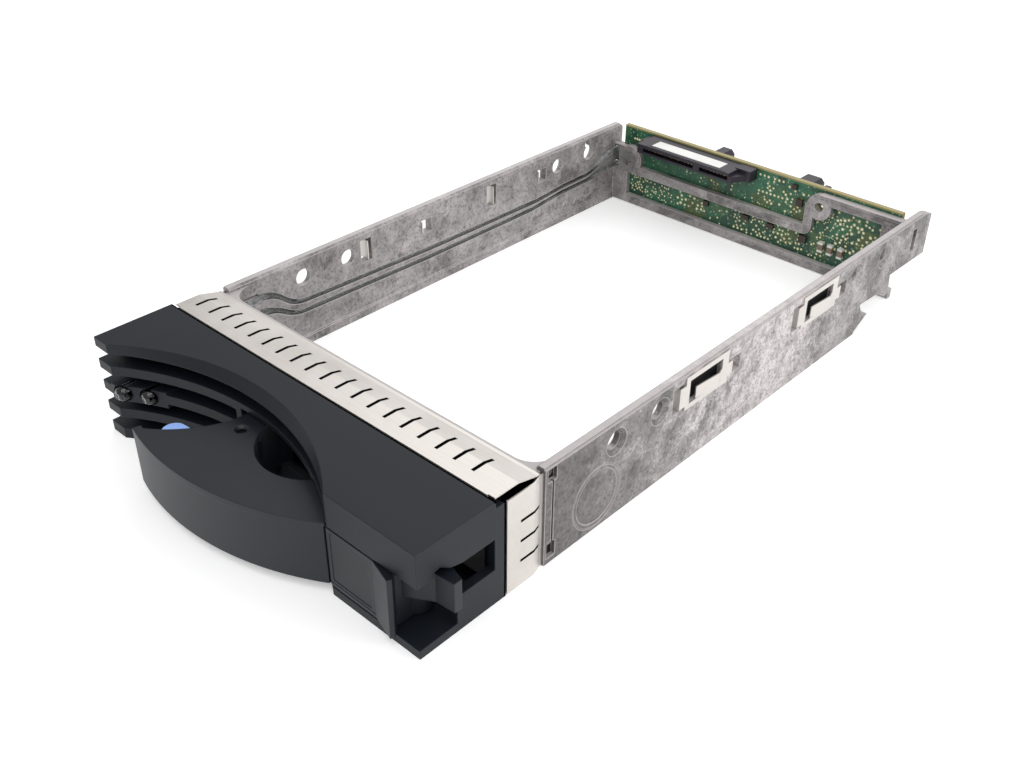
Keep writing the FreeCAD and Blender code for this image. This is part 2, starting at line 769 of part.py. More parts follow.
def front_bezel():
    scoop = scoop_block((-1, bezel_height + 1))
    side_hole = flank(bezel_side_opening(), (bezel_inner_x - 0.5, bezel_half + 1))
    body = cut(bezel_shell(), scoop, front_opening(), side_hole)
    slots = []
    for index in range(fin_count - 1):
        gap = (fin_top(index + 1), fin_top(index) - fin_thickness)
        slots.append(box((-bezel_half - 1, -bezel_inner_x + 1), (-1, fin_depth), gap))
        slots.append(box((-bezel_half - 1, scoop_right_x - skin_overlap), (-1, bezel_wall + 0.1), gap))
    body = join(cut(body, *slots), louvre(), bezel_rib(), pivot_web())
    roof_cut = Part.makeLoft([scoop_wire(scoop_depth, bezel_height - fin_thickness),
                              scoop_wire(scoop_roof_depth, bezel_height)], True, True)
    body = join(body.cut(roof_cut), latch_strike(), lens_block_piece(), *snaps())
    pin_hole = post(pivot_x, pivot_y, (pivot_pin_end, second_fin_top - 0.6), pivot_pin_radius)
    notch = post(pivot_x + handle_spring_radius, pivot_y + 0.3, (grip_top_z, second_fin_top - 0.3), 0.5)
    tools = [pin_hole, notch]
    for x in lens_xs:
        tools.append(rod(x, (0, scoop_depth + 2 * fin_depth), lens_z, pipe_radius + pipe_play))
        tools.append(rod(x, (-1, lens_seat_y(x)), lens_z, lens_radius + running_gap))
    return cut(body, *tools)


# Light pipes

def lens_seat_y(x):
    """Depth of a lens seat at one place across."""
    return scoop_y(x) + lens_seat


def pipe_points(name):
    """Corners of a light pipe from its lens to its light source."""
    course = [(rail_front_y + y, z) for y, z in front_courses[name]]
    course += [(frame_front_y - y, z) for y, z in rear_courses[name]]
    lens_x = lens_xs[0] if name == "upper" else lens_xs[1]
    entry_x = -rail_inner_x + 1.6
    start_y = lens_seat_y(lens_x) - 0.2
    rear_z = pipe_rear_z[name]
    points = [vec(lens_x, start_y, lens_z), vec(lens_x, bezel_top_depth + 4, lens_z),
              vec(entry_x, course[0][0] - 3, course[0][1])]
    for y, z in course[1:]:
        points.append(vec(channel_x, y, z))
    points.append(vec(board_tab_x + 0.6, frame_front_y - 2.8, rear_z))
    points.append(vec(board_tab_x + 0.6, board_y - pipe_end_gap, rear_z))
    return points


def pipe_path(name):
    """Straight runs joined by tangent arcs."""
    corners = pipe_points(name)
    edges = []
    start = corners[0]
    for before, corner, after in zip(corners, corners[1:], corners[2:]):
        into = (before - corner).normalize()
        out = (after - corner).normalize()
        turn = math.pi - into.getAngle(out)
        if turn < 0.01:
            continue
        room = 0.42 * min((before - corner).Length, (after - corner).Length)
        trim = min(room, bend_radius * math.tan(turn / 2))
        first = corner + into * trim
        last = corner + out * trim
        bisector = (into + out).normalize()
        radius = trim / math.tan(turn / 2)
        centre = corner + bisector * (radius / math.cos(turn / 2))
        edges.append(Part.makeLine(start, first))
        edges.append(Part.Arc(first, centre - bisector * radius, last).toShape())
        start = last
    edges.append(Part.makeLine(start, corners[-1]))
    return Part.Wire(edges)


def sweep_round(path, radius):
    start = path.Edges[0].Vertexes[0].Point
    section = Part.Wire(Part.makeCircle(radius, start, vec(0, 1, 0)))
    return path.makePipeShell([section], True, False)


def light_pipe(name):
    """Clear rod with a domed lens at its front end."""
    x = lens_xs[0] if name == "upper" else lens_xs[1]
    centre_y = scoop_y(x) + lens_proud
    stem = sweep_round(pipe_path(name), pipe_radius)
    barrel = rod(x, (centre_y, lens_seat_y(x)), lens_z, lens_radius)
    ball = Part.makeSphere(lens_radius, vec(x, centre_y, lens_z))
    return join(barrel, ball, stem)


def status_leds():
    parts = []
    wide, deep, tall = led_size
    for z in pipe_rear_z.values():
        parts.append(box((board_tab_x, board_tab_x + wide), (board_y - deep, board_y),
                         (z - tall / 2, z + tall / 2)))
    return Part.makeCompound(parts)


# Lever handle

def grip_arc_y(x, bulge):
    """Front curve of the grip at one place across: a circle with its foremost point left of centre."""
    reach = grip_right_x - grip_centre_x
    radius = (reach ** 2 + bulge ** 2) / (2 * bulge)
    return radius - bulge - math.sqrt(radius ** 2 - (x - grip_centre_x) ** 2)


def grip_section(z, bulge, left):
    """Closed outline of the grip's curved wall at one height."""
    right = grip_right_x
    middle = (left + right) / 2
    outer = [vec(x, grip_arc_y(x, bulge), z) for x in (left, middle, right)]
    inner = [vec(x, grip_arc_y(x, bulge) + grip_wall, z) for x in (right, middle, left + 0.6)]
    edges = [Part.Arc(*outer).toShape(), Part.makeLine(outer[2], inner[0]),
             Part.Arc(*inner).toShape(), Part.makeLine(inner[2], outer[0])]
    return Part.Wire(edges)


def grip_plate_face(z):
    """Outline of the grip's top plate, with a hollow over the touch tab."""
    left = grip_left_x
    right = grip_right_x
    start, crest, end = [vec(x, grip_arc_y(x, grip_bulge), z) for x in (left, (left + right) / 2, right)]
    corner = vec(left + 0.2, start.y + 0.6, z)
    back = vec(latch_x - 4.3, latch_y + 0.4, z)
    waist = vec(latch_x - 8.35, latch_y - 7.4, z)
    rear_left = vec(latch_x - latch_hub_radius, grip_rear_y, z)
    rear_right = vec(right, grip_rear_y, z)
    edges = [Part.Arc(start, crest, end).toShape(), Part.makeLine(end, rear_right),
             Part.makeLine(rear_right, rear_left), Part.makeLine(rear_left, back),
             Part.Arc(back, waist, corner).toShape(), Part.makeLine(corner, start)]
    return Part.Face(Part.Wire(edges))


def handle_hub():
    """Label panel, forward flare, hub barrel and the lugs round it."""
    z = (hub_bottom_z, hub_top_z)
    left = grip_right_x
    panel = box((left, pivot_x - 0.5), (0, panel_thickness), z)
    flare = plan([(pivot_x - 1.6, 0), (pivot_x + 4.5, -flare_reach), (pivot_x + 4.9, 1 - flare_reach),
                  (pivot_x + 2.9, 1.4), (pivot_x + 2.9, pivot_y - 3), (pivot_x - 1.6, pivot_y - 3)], z)
    barrel = post(pivot_x, pivot_y, z, hub_radius)
    lug_outline = [(left, 0.5), (pivot_x + 1, 0.5), (pivot_x + 2.5, pivot_y), (pivot_x, pivot_y + hub_radius),
                   (left, pivot_y + 6.5)]
    top_lug = plan(lug_outline, (hub_top_z - lug_thickness, hub_top_z))
    bottom_lug = plan(lug_outline, (hub_bottom_z, hub_bottom_z + lug_thickness))
    return join(panel, flare, barrel, top_lug, bottom_lug)


def claw():
    """Cam arm that reaches out through the side window."""
    low = window_bottom_z + claw_gap
    high = window_top_z - claw_gap
    tip_y = pivot_y - 1.8
    root = vec(pivot_x + 2.7, pivot_y - 5.8, low)
    bend = vec(pivot_x + 6.1, pivot_y - 3.8, low)
    knee = vec(pivot_x + 8.8, pivot_y - 2.2, low)
    tip = vec(claw_x, tip_y, low)
    heel = vec(claw_x, tip_y + claw_width, low)
    back = vec(pivot_x + 7.5, pivot_y + 2.1, low)
    hub = vec(pivot_x, pivot_y + hub_radius, low)
    edges = [Part.Arc(root, bend, knee).toShape(), Part.makeLine(knee, tip), Part.makeLine(tip, heel),
             Part.makeLine(heel, back), Part.makeLine(back, hub), Part.makeLine(hub, root)]
    return Part.Face(Part.Wire(edges)).extrude(vec(0, 0, high - low))


def label_place():
    """Edges of the label's seat on the panel, as pairs x and z."""
    left = scoop_right_x + label_margin - 0.2
    return (left, left + label_width), (hub_bottom_z + label_margin + 0.9, hub_top_z - label_margin)


def lever_handle():
    wall = Part.makeLoft([grip_section(grip_bottom_z, grip_foot_bulge, grip_foot_left_x),
                          grip_section(grip_top_z, grip_bulge, grip_left_x)], True, True)
    plate = grip_plate_face(plate_low_z).extrude(vec(0, 0, grip_plate))
    into_plate = plate_low_z + 0.5
    ahead = box((grip_foot_left_x, grip_right_x), (-grip_bulge, finger_hole_rear_y), (0, grip_top_z))
    skirt = post(finger_hole_x, finger_hole_y, (finger_skirt_z, into_plate), finger_hole_radius + finger_wall)
    hole = post(finger_hole_x, finger_hole_y, (0, grip_top_z + 1), finger_hole_radius)
    hole = hole.common(box((scoop_left_x, scoop_right_x), (-grip_bulge, finger_hole_rear_y),
                           (0, grip_top_z + 1)))
    lug_z = (latch_floor_z - latch_floor, latch_floor_z)
    lug = post(latch_x, latch_y, lug_z, latch_hub_radius)
    ledge = box((latch_x, latch_x + 5), (latch_y - 3, latch_y + 1.5), lug_z)
    web = box((latch_x + 3.6, latch_x + 5), (latch_y - 6, latch_y + 1.5), (lug_z[0], into_plate))
    end_wall = box((grip_right_x - 1.2, grip_right_x), (0.1, pivot_y + 6.5), (hub_bottom_z, into_plate))
    foot_z = lowest_fin_top + 0.3
    foot = box((0, scoop_right_x), (-1, grip_rear_y), (0, foot_z)).cut(scoop_block((-1, foot_z + 1), -0.4))
    body = cut(join(wall, plate, skirt.common(ahead)), hole, foot)
    body = join(body, lug, ledge, web, end_wall, handle_hub(), claw())
    label_x, label_z = label_place()
    groove_x = (grip_right_x - 0.2, grip_right_x + 0.3)
    groove_z = (hub_bottom_z + panel_groove_z, hub_bottom_z + panel_groove_z + panel_groove)
    spring_z = (hub_top_z - handle_spring_length - 0.9, hub_top_z + 1)
    rim = Part.makeCone(latch_pin_radius, latch_pin_radius + 0.6, 0.6,
                        vec(latch_x, latch_y, grip_top_z - 0.6))
    tools = [post(pivot_x, pivot_y, (hub_top_z, grip_top_z + 1), swing_radius),
             box(label_x, (-1, label_depth), label_z),
             box(groove_x, (-1, 0.5), grown((hub_bottom_z, hub_top_z), 0.1)),
             box((grip_right_x, pivot_x - 1.6), (-1, label_depth), groove_z),
             post(pivot_x, pivot_y, (0, bezel_height), pivot_pin_radius + running_gap),
             post(pivot_x, pivot_y, spring_z, hub_radius - 0.9),
             post(latch_x, latch_y, (lug_z[0] - 1, grip_top_z + 1), latch_pin_radius)]
    return cut(body, rim, *tools)


def handle_label():
    label_x, label_z = label_place()
    return box(grown(label_x, -0.1), (label_depth - label_thickness, label_depth), grown(label_z, -0.1))


def handle_pivot_pin():
    return post(pivot_x, pivot_y, (pivot_pin_end, second_fin_top - 0.6), pivot_pin_radius)


def coil(x, y, z, radius, wire):
    """Spring body of square wire."""
    pitch = (z[1] - z[0] - wire) / spring_turns
    helix = Part.makeHelix(pitch, pitch * spring_turns, radius)
    section = polygon([vec(radius - wire / 2, 0, 0), vec(radius + wire / 2, 0, 0),
                       vec(radius + wire / 2, 0, wire), vec(radius - wire / 2, 0, wire)])
    body = Part.Wire(helix.Edges).makePipeShell([section], True, True)
    body.translate(vec(x, y, z[0]))
    return body


def handle_spring():
    """Torsion spring in the hub, its tail held in the bezel."""
    wire = handle_spring_wire
    top = hub_top_z - 0.3
    body = coil(pivot_x, pivot_y, (top - handle_spring_length, top), handle_spring_radius, wire)
    tail_x = pivot_x + handle_spring_radius
    tail = box((tail_x - wire / 2, tail_x + wire / 2), (pivot_y, pivot_y + wire),
               (top - wire, second_fin_top - 0.5))
    return body.fuse(tail)


# Release latch

def release_latch():
    z = (plate_low_z - latch_clearance - latch_thickness, plate_low_z - latch_clearance)
    tab = (latch_x + latch_tab[0], latch_y + latch_tab[1])
    elbow = (latch_x + latch_elbow[0], latch_y + latch_elbow[1])
    hook = (latch_x + latch_hook[0], latch_y + latch_hook[1])
    hub = post(latch_x, latch_y, z, latch_hub_radius)
    arm = capsule((latch_x, latch_y), elbow, latch_arm_radius, z)
    tongue = capsule(elbow, tab, latch_tab_radius, z)
    bar = capsule((latch_x, latch_y), hook, latch_bar_radius, z)
    barb = plan([(hook[0], hook[1] - 0.8), (hook[0] + latch_barb, hook[1] - 0.6),
                 (hook[0] + latch_barb, hook[1] + 0.2), (hook[0], hook[1] + 0.8)], z)
    bore = post(latch_x, latch_y, grown(z, 1), latch_pin_radius + running_gap)
    return join(hub, arm, tongue, bar, barb).cut(bore)


def latch_pivot_pin():
    return post(latch_x, latch_y, (latch_floor_z - latch_floor - 0.8, grip_top_z - 1), latch_pin_radius)


def latch_spring():
    top = latch_floor_z - latch_floor - 0.1
    return coil(latch_x, latch_y, (top - latch_spring_length, top), latch_spring_radius, latch_spring_wire)


# Contact strips and clips

def contact_strip_top():
    """Strip tucked under the bezel's roof, raised over the gap and sloping down to the tray."""
    low = nose_top_z + 0.05
    rise_y = bezel_top_depth + sheet + strip_gap
    flat_z = strip_top_z - sheet
    end_z = strip_drop_z - sheet
    path = [(bezel_top_depth - strip_tuck, low), (rise_y, low), (rise_y, flat_z),
            (bezel_top_depth + strip_flat, flat_z), (strip_rear_y, end_z), (strip_rear_y + strip_end, end_z)]
    half = nose_half - 0.4
    strip = flank(thick_path(path, sheet), (-half, half))
    wide_half = bezel_half - sheet - strip_gap - 0.2
    strip = join(strip, flank(thick_path(path[2:], sheet), (-wide_half, wide_half)))
    slit_y = (bezel_top_depth + slit_start, bezel_top_depth + slit_start + slit_length)
    tools = []
    for index in range(slit_count):
        x = (index - slit_count / 2) * slit_pitch
        tools.append(box((x - slit_width / 2, x + slit_width / 2), slit_y,
                         (strip_drop_z - 1, strip_top_z + 1)))
    return cut(strip, *tools)


def contact_strip_right():
    """Side strip, bowed out to the bezel's width and folded in at both ends."""
    outer = bezel_half - sheet
    fold_y = bezel_side_depth + strip_side_gap
    end_x = outer - strip_fold_in
    path = [(nose_half + 0.1, fold_y), (outer, fold_y), (outer, strip_bend_y), (end_x, rail_front_y - 0.8),
            (end_x, rail_front_y - 0.05)]
    top = strip_drop_z - strip_side_end
    strip = plan(thick_path(path, -sheet), (0, top))
    slit_y = (strip_bend_y - slit_length + 1.9, strip_bend_y + 1.9)
    tools = []
    for index in range(slit_side_count):
        z = slit_side_z + index * slit_pitch
        tools.append(box((outer - 2, outer + 2), slit_y, (z - slit_width / 2, z + slit_width / 2)))
    room = box((nose_half - 1, bezel_half - sheet - 0.1), (bezel_side_depth - 1, fold_y + 1),
               (top - shoulder_height - 2 * sheet, top + 1))
    return cut(strip, room, *tools)


def spring_clip(start):
    """Leaf on the rail's outer face, hooked through two slots, with a bowed tongue cut free in it."""
    inner = rail_outer_x + 0.02
    face = (inner, inner + sheet)
    hook_x = (rail_inner_x - 0.35, inner + sheet)
    front_y = start + clip_slot_length + 0.4
    rear_y = start + clip_span - 1.6
    hook_front = start + clip_hook_inset
    hook_rear = start + clip_span + 0.3
    front_z = grown(clip_front_slot_z, -0.6)
    rear_z = grown(clip_rear_slot_z, -0.4)
    leaf = join(box(face, (front_y, rear_y), clip_leaf_z),
                box(face, (hook_front, front_y + 1), front_z),
                box(hook_x, (hook_front, hook_front + sheet), front_z),
                box(face, (rear_y - 1, hook_rear), rear_z),
                box(hook_x, (hook_rear - sheet, hook_rear), rear_z))
    window_y = (start + clip_window_y[0], start + clip_window_y[1])
    window = box(grown(face, 1), window_y, clip_window_z)
    crest = clip_outer_x - sheet
    path = [(inner, window_y[1] + 0.6), (inner, window_y[1] - 0.2), (crest, window_y[1] - 1.8),
            (inner, window_y[0] + 2.6)]
    tongue_z = (clip_window_z[0] + 0.2, rail_height - clip_tongue_drop)
    tongue = plan(thick_path(path, sheet), tongue_z)
    return join(leaf.cut(window), tongue)


# Interposer board and connectors

def interposer_board():
    depth = (board_y, board_rear_y)
    through = grown(depth, 1)
    tab_z = (pipe_rear_z["lower"] - pipe_end_gap, pipe_rear_z["upper"] + pipe_end_gap)
    board = box((board_left_x, board_right_x), depth, (board_bottom_z, board_top_z))
    tab = box((board_tab_x, board_left_x + 1), depth, tab_z)
    corner = box((board_right_x - board_notch[0], board_right_x + 1), through, (0, board_notch[1]))
    return cut(join(board, tab), corner, rod(boss_x, through, boss_z, boss_hole_radius),
               rod(left_boss_x, through, left_boss_z, screw_shank_size + running_gap))


def drive_connector():
    """Receptacle with a long power slot and a short signal slot, a rear arm and a guide wedge."""
    z = (plug_top_z - plug_height, plug_top_z)
    slot_y = (plug_front_y - 1, plug_front_y + plug_slot_depth)
    slot_z = (z[0] + plug_slot_wall, z[1] - plug_roof)
    ear_y = plug_front_y + plug_ear_y
    body = box((plug_left_x, plug_right_x), (plug_front_y, board_y), z)
    arm = box((plug_left_x - plug_arm, plug_left_x + 1), (ear_y - 1, board_y), (z[0], z[1] - 0.4))
    ear = box((plug_right_x - 1, plug_right_x + plug_ear), (ear_y, board_y), (z[0] - 0.4, z[1] + 0.2))
    wedge = plan([(plug_right_x - 0.5, plug_front_y), (plug_right_x + 0.8, plug_front_y + 0.4),
                  (plug_right_x + plug_ear - 0.6, ear_y + 1), (plug_right_x - 0.5, ear_y + 1)],
                 (z[0], z[1] - 1.1))
    slots = [box((plug_left_x + near, plug_left_x + far), slot_y, slot_z)
             for near, far in (plug_slot_left, plug_slot_right)]
    return cut(join(body, arm, ear, wedge), *slots)


def drive_connector_contacts():
    """Contact blades on the upper wall of both slots."""
    top = plug_top_z - plug_roof
    y = (plug_front_y + 0.4, plug_front_y + plug_slot_depth)
    blades = []
    for slot, count in ((plug_slot_left, power_contacts), (plug_slot_right, signal_contacts)):
        middle = plug_left_x + (slot[0] + slot[1]) / 2
        for index in range(count):
            x = middle + (index - (count - 1) / 2) * contact_pitch
            blades.append(box((x - contact_width / 2, x + contact_width / 2), y, (top - contact_height, top)))
    return Part.makeCompound(blades)


def pick_cap():
    y = (plug_front_y + cap_y[0], plug_front_y + cap_y[1])
    return box(cap_x, y, (plug_top_z, plug_top_z + cap_thickness))


def tower(x, depth):
    """Upright guide with chamfered upper corners."""
    top = plug_top_z + 0.3
    outline = [(x[0], tower_foot_z), (x[1], tower_foot_z), (x[1], top - tower_chamfer),
               (x[1] - tower_chamfer, top), (x[0] + tower_chamfer, top), (x[0], top - tower_chamfer)]
    return front(outline, (board_rear_y, board_rear_y + depth))


def backplane_connector():
    """Rear plug: a low body between two guide towers."""
    rear_y = board_rear_y + rear_plug_depth
    small_y = (board_rear_y, board_rear_y + tower_small_depth)
    small = box(tower_small_x, small_y, (rear_plug_z[1] - 1, plug_top_z))
    foot = box((tower_right_x[1] - 0.5, tower_small_x[1]), small_y,
               (rear_plug_z[1] - 1, rear_plug_z[1] + 1.5))
    body = box(rear_plug_x, (board_rear_y, rear_y), rear_plug_z)
    slot = box(grown(rear_plug_x, -rear_slot_wall), (rear_y - rear_slot_depth, rear_y + 1), rear_slot_z)
    towers = join(body, foot, small, tower(tower_left_x, tower_depth), tower(tower_right_x, tower_depth))
    return towers.cut(slot)


def backplane_contacts():
    rear_y = board_rear_y + rear_plug_depth
    y = (rear_y - rear_slot_depth, rear_y - 0.6)
    middle = (rear_plug_x[0] + rear_plug_x[1]) / 2
    low, high = rear_slot_z
    blades = []
    for index in range(rear_contact_count):
        x = middle + (index - (rear_contact_count - 1) / 2) * rear_contact_pitch
        pair = (x - contact_width / 2, x + contact_width / 2)
        blades.append(box(pair, y, (high - contact_height, high)))
        blades.append(box(pair, y, (low, low + contact_height)))
    return Part.makeCompound(blades)


def board_screw():
    """Screw of the left boss with a cross recess."""
    x = left_boss_x
    z = left_boss_z
    head = rod(x, (frame_front_y - 1.5, frame_front_y), z, screw_head_size)
    shank = rod(x, (frame_front_y - 0.5, board_rear_y + 1), z, screw_shank_size)
    recess_y = (frame_front_y - 2, frame_front_y - 0.8)
    wide = grown((x, x), screw_recess)
    narrow = grown((x, x), screw_recess_half)
    recess = join(box(wide, recess_y, grown((z, z), screw_recess_half)),
                  box(narrow, recess_y, grown((z, z), screw_recess)))
    return join(head, shank).cut(recess)


def board_capacitors():
    wide, deep, tall = capacitor_size
    parts = []
    for x in capacitor_xs:
        parts.append(box((x - wide / 2, x + wide / 2), (board_y - deep, board_y),
                         (capacitor_z - tall / 2, capacitor_z + tall / 2)))
    return Part.makeCompound(parts)


def board_chips():
    parts = []
    for x, z, wide, tall in chips:
        parts.append(box((x - wide / 2, x + wide / 2), (board_y - chip_height, board_y),
                         (z - tall / 2, z + tall / 2)))
    return Part.makeCompound(parts)


def save(name, shape):
    placed = shape.copy()
    placed.translate(origin * -1)
    placed.exportStep("parts/" + name + ".step")


def main():
    os.makedirs("parts", exist_ok=True)
    save("tray_casting", tray_casting())
    save("front_bezel", front_bezel())
    save("lever_handle", lever_handle())
    save("handle_pivot_pin", handle_pivot_pin())
    save("handle_spring", handle_spring())
    save("handle_label", handle_label())
    save("release_latch", release_latch())
    save("latch_pivot_pin", latch_pivot_pin())
    save("latch_spring", latch_spring())
    save("contact_strip_top", contact_strip_top())
    side_strip = contact_strip_right()
    save("contact_strip_right", side_strip)
    save("contact_strip_left", mirrored(side_strip))
    save("light_pipe_upper", light_pipe("upper"))
    save("light_pipe_lower", light_pipe("lower"))
    for place, start in zip(("front", "rear"), clip_front_ys):
        clip = spring_clip(start)
        save("spring_clip_right_" + place, clip)
        save("spring_clip_left_" + place, mirrored(clip))
    save("interposer_board", interposer_board())
    save("drive_connector", drive_connector())
    save("drive_connector_contacts", drive_connector_contacts())
    save("pick_cap", pick_cap())
    save("backplane_connector", backplane_connector())
    save("backplane_contacts", backplane_contacts())
    save("board_screw", board_screw())
    save("board_capacitors", board_capacitors())
    save("board_chips", board_chips())
    save("status_leds", status_leds())


main()
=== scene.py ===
"""Looks of a hot swap drive caddy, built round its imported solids.

The solids keep their place and size. Each gets a procedural material worked out from the real
finish, and the fine pieces that the solids leave out, such as plated holes and solder joints, are
modelled here. Sizes are in metres, in the frame of the solids.
"""

import math
import random

import bmesh
import bpy
from mathutils import Matrix, Vector


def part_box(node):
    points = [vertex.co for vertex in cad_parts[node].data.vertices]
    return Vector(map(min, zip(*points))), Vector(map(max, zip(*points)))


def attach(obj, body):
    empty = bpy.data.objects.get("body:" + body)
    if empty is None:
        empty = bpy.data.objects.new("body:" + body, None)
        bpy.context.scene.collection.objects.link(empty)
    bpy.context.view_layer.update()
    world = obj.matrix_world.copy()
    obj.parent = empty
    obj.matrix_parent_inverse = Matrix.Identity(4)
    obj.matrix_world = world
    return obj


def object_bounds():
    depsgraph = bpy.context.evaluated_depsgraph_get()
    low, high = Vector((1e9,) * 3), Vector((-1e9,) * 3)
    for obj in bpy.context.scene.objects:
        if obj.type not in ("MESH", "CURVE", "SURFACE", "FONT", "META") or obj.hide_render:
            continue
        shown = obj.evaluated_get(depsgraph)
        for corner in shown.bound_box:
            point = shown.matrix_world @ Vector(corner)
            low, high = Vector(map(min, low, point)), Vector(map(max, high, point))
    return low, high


bl_info = {
    "name": "Hot Swap Drive Caddy Looks",
    "version": (1, 1, 0),
    "blender": (4, 5, 0),
    "location": "3D View > Sidebar > Caddy",
    "description": "Materials, fine pieces and studio for a hot swap drive caddy",
    "category": "Object",
}

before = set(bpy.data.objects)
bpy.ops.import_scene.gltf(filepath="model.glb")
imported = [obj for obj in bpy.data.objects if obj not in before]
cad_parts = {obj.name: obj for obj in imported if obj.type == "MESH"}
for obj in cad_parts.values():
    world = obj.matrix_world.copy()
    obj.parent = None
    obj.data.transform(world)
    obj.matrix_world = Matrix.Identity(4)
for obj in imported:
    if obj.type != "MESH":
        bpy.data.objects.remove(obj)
cad_box = [list(corner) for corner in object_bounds()]

MM = 0.001

# Places in a colour mix node: factor, first colour, second colour and result
FACTOR, FIRST, SECOND, RESULT = 0, 6, 7, 2

# Fields of plated holes on the board: left, right, low and high edge in mm, how many, and share of the
# full size
PAD_FIELDS = ((-46, -39, 4.4, 10.0, 30, 0.8), (-39, -29, 3.4, 9.6, 30, 0.7), (-27, -16, 5.2, 10.0, 18, 1.1),
              (-15, -6, 3.4, 9.4, 5, 0.8), (-5, 8, 3.6, 10.2, 34, 0.85), (8, 21, 4.4, 10.2, 30, 0.95),
              (22, 30, 3.8, 18.5, 26, 0.8), (30, 45, 8.6, 20.6, 64, 1.1), (25, 35, 11.0, 19.5, 34, 0.5),
              (5, 21, 14.6, 23.4, 34, 1.0), (-2, 6, 14.6, 18.0, 6, 0.7), (-38, -4, 14.6, 17.6, 9, 0.7))

# Rows of solder joints: first place across, height and pitch in mm, and count
JOINT_ROWS = ((2.5, 24.2, 1.45, 3), (7.6, 24.2, 1.5, 3), (2.7, 19.0, 1.38, 7), (-45.6, 22.4, 0.9, 4),
              (4.2, 4.3, 1.3, 4), (-4.6, 4.3, 1.5, 3), (-39.0, 19.9, 1.27, 8))

# Plated holes: least and greatest share of a field's size, room kept round each, tries for each and seed
PAD_SPREAD = (0.8, 1.15)
PAD_ROOM = 1.15
PAD_TRIES = 5
PAD_SEED = 8

# Thickness in mm of a pad's ring and of the solder on it, whose foot and tip are shares of the ring
RING_HEIGHT = 0.08
SOLDER_HEIGHT = 0.24
SOLDER_FOOT = 0.82
SOLDER_TIP = 0.45

# Bare border along the board's top, and silvered ends of a ceramic body, in mm
BOARD_BORDER = 0.5
CERAMIC_END = 0.7

# Ribs of the receptacle in mm: pitch, size, distance behind the front face and rounding
RIB_PITCH = 1.27
RIB_SIZE = (0.5, 1.1, 0.2)
RIB_SETBACK = 0.6
RIB_ROUNDING = 0.05

# Slits of the contact strips in mm: axis they are spread on, place of the first, pitch, count, and half
# width of the painted shade round each
TOP_SLITS = ("X", -50.475, 5.2, 19, 0.45)
SIDE_SLITS = ("Z", 6.6, 5.2, 3, 0.36)
TOP_SLIT_ENDS = (-70.6, -64.6)
SIDE_SLIT_ENDS = (-67.2, -61.2)

# Painted shade in the gaps, in mm: in front of the side strip and how far it runs on behind it, and along
# the rear edge of the bezel's top, in the skin there
SIDE_SEAM = 0.9
SIDE_SEAM_REACH = 20
TOP_SEAM = 0.4
TOP_SEAM_REACH = 1
TOP_SKIN = 0.4
TOP_MARGIN = 0.1
BEZEL_TOP_REAR = -74.3

# Foam in the seam below the nose, in mm: left, right, front, rear, low and high edge, and rounding
SEAL = (-51.6, 49.6, -74.18, -73.66, 0.4, 3.4)
SEAL_ROUNDING = 0.1

# The casting, in mm: rear end of its nose, which is painted near black as the shade behind the bezel, and
# the depths of its sunk pockets on either side, whose floors are painted with their shade
NOSE_REAR = -61.2
POCKETS_RIGHT = (51.5, 52.4)
POCKETS_LEFT = (-54.6, -53.6)

# Softboxes: name, place and width in metres, and power in watts
LAMPS = (("key", (0.35, -0.45, 0.85), 0.9, 4.2), ("side", (0.6, 0.35, 0.4), 0.6, 2.0),
         ("back", (-0.5, 0.8, 0.8), 0.9, 3.0))

# Half the floor's width in metres
FLOOR_HALF = 0.95

CAMERA_PLACE = Vector((168.85, -195.43, 165.22)) * MM
CAMERA_FORWARD = Vector((-0.5639, 0.6103, -0.5564))
CAMERA_ROLL = math.radians(0.474)
CAMERA_LENS = 40.38


def linear(hex_colour):
    """Linear red, green, blue and alpha of an sRGB hex value."""
    channels = [int(hex_colour[i:i + 2], 16) / 255 for i in (1, 3, 5)]
    values = [c / 12.92 if c <= 0.04045 else ((c + 0.055) / 1.055) ** 2.4 for c in channels]
    return (*values, 1.0)


def per_mm(size):
    """Texture scale at which one cell is the given number of millimetres."""
    return 1.0 / (size * MM)


def shaded(colour, factor):
    """The same colour made lighter or darker."""
    return (*[min(1.0, c * factor) for c in colour[:3]], 1.0)


class CaddyColours(bpy.types.PropertyGroup):
    """Colours of the caddy's finishes."""

    casting: bpy.props.FloatVectorProperty(
        name="Casting", description="Mean colour of the bare die casting",
        subtype="COLOR", size=4, min=0, max=1, default=linear("#9E9999"))
    moulding: bpy.props.FloatVectorProperty(
        name="Moulding", description="Colour of the bezel and the lever handle",
        subtype="COLOR", size=4, min=0, max=1, default=linear("#10151D"))
    touch_tab: bpy.props.FloatVectorProperty(
        name="Touch tab", description="Colour of the release latch",
        subtype="COLOR", size=4, min=0, max=1, default=linear("#8FB0F2"))
    stainless: bpy.props.FloatVectorProperty(
        name="Stainless", description="Colour of the strips and spring clips",
        subtype="COLOR", size=4, min=0, max=1, default=linear("#D7D2CD"))
    solder_mask: bpy.props.FloatVectorProperty(
        name="Solder mask", description="Colour of the board's coating",
        subtype="COLOR", size=4, min=0, max=1, default=linear("#2A6447"))
    connector: bpy.props.FloatVectorProperty(
        name="Connector", description="Colour of the connector mouldings",
        subtype="COLOR", size=4, min=0, max=1, default=linear("#26212B"))


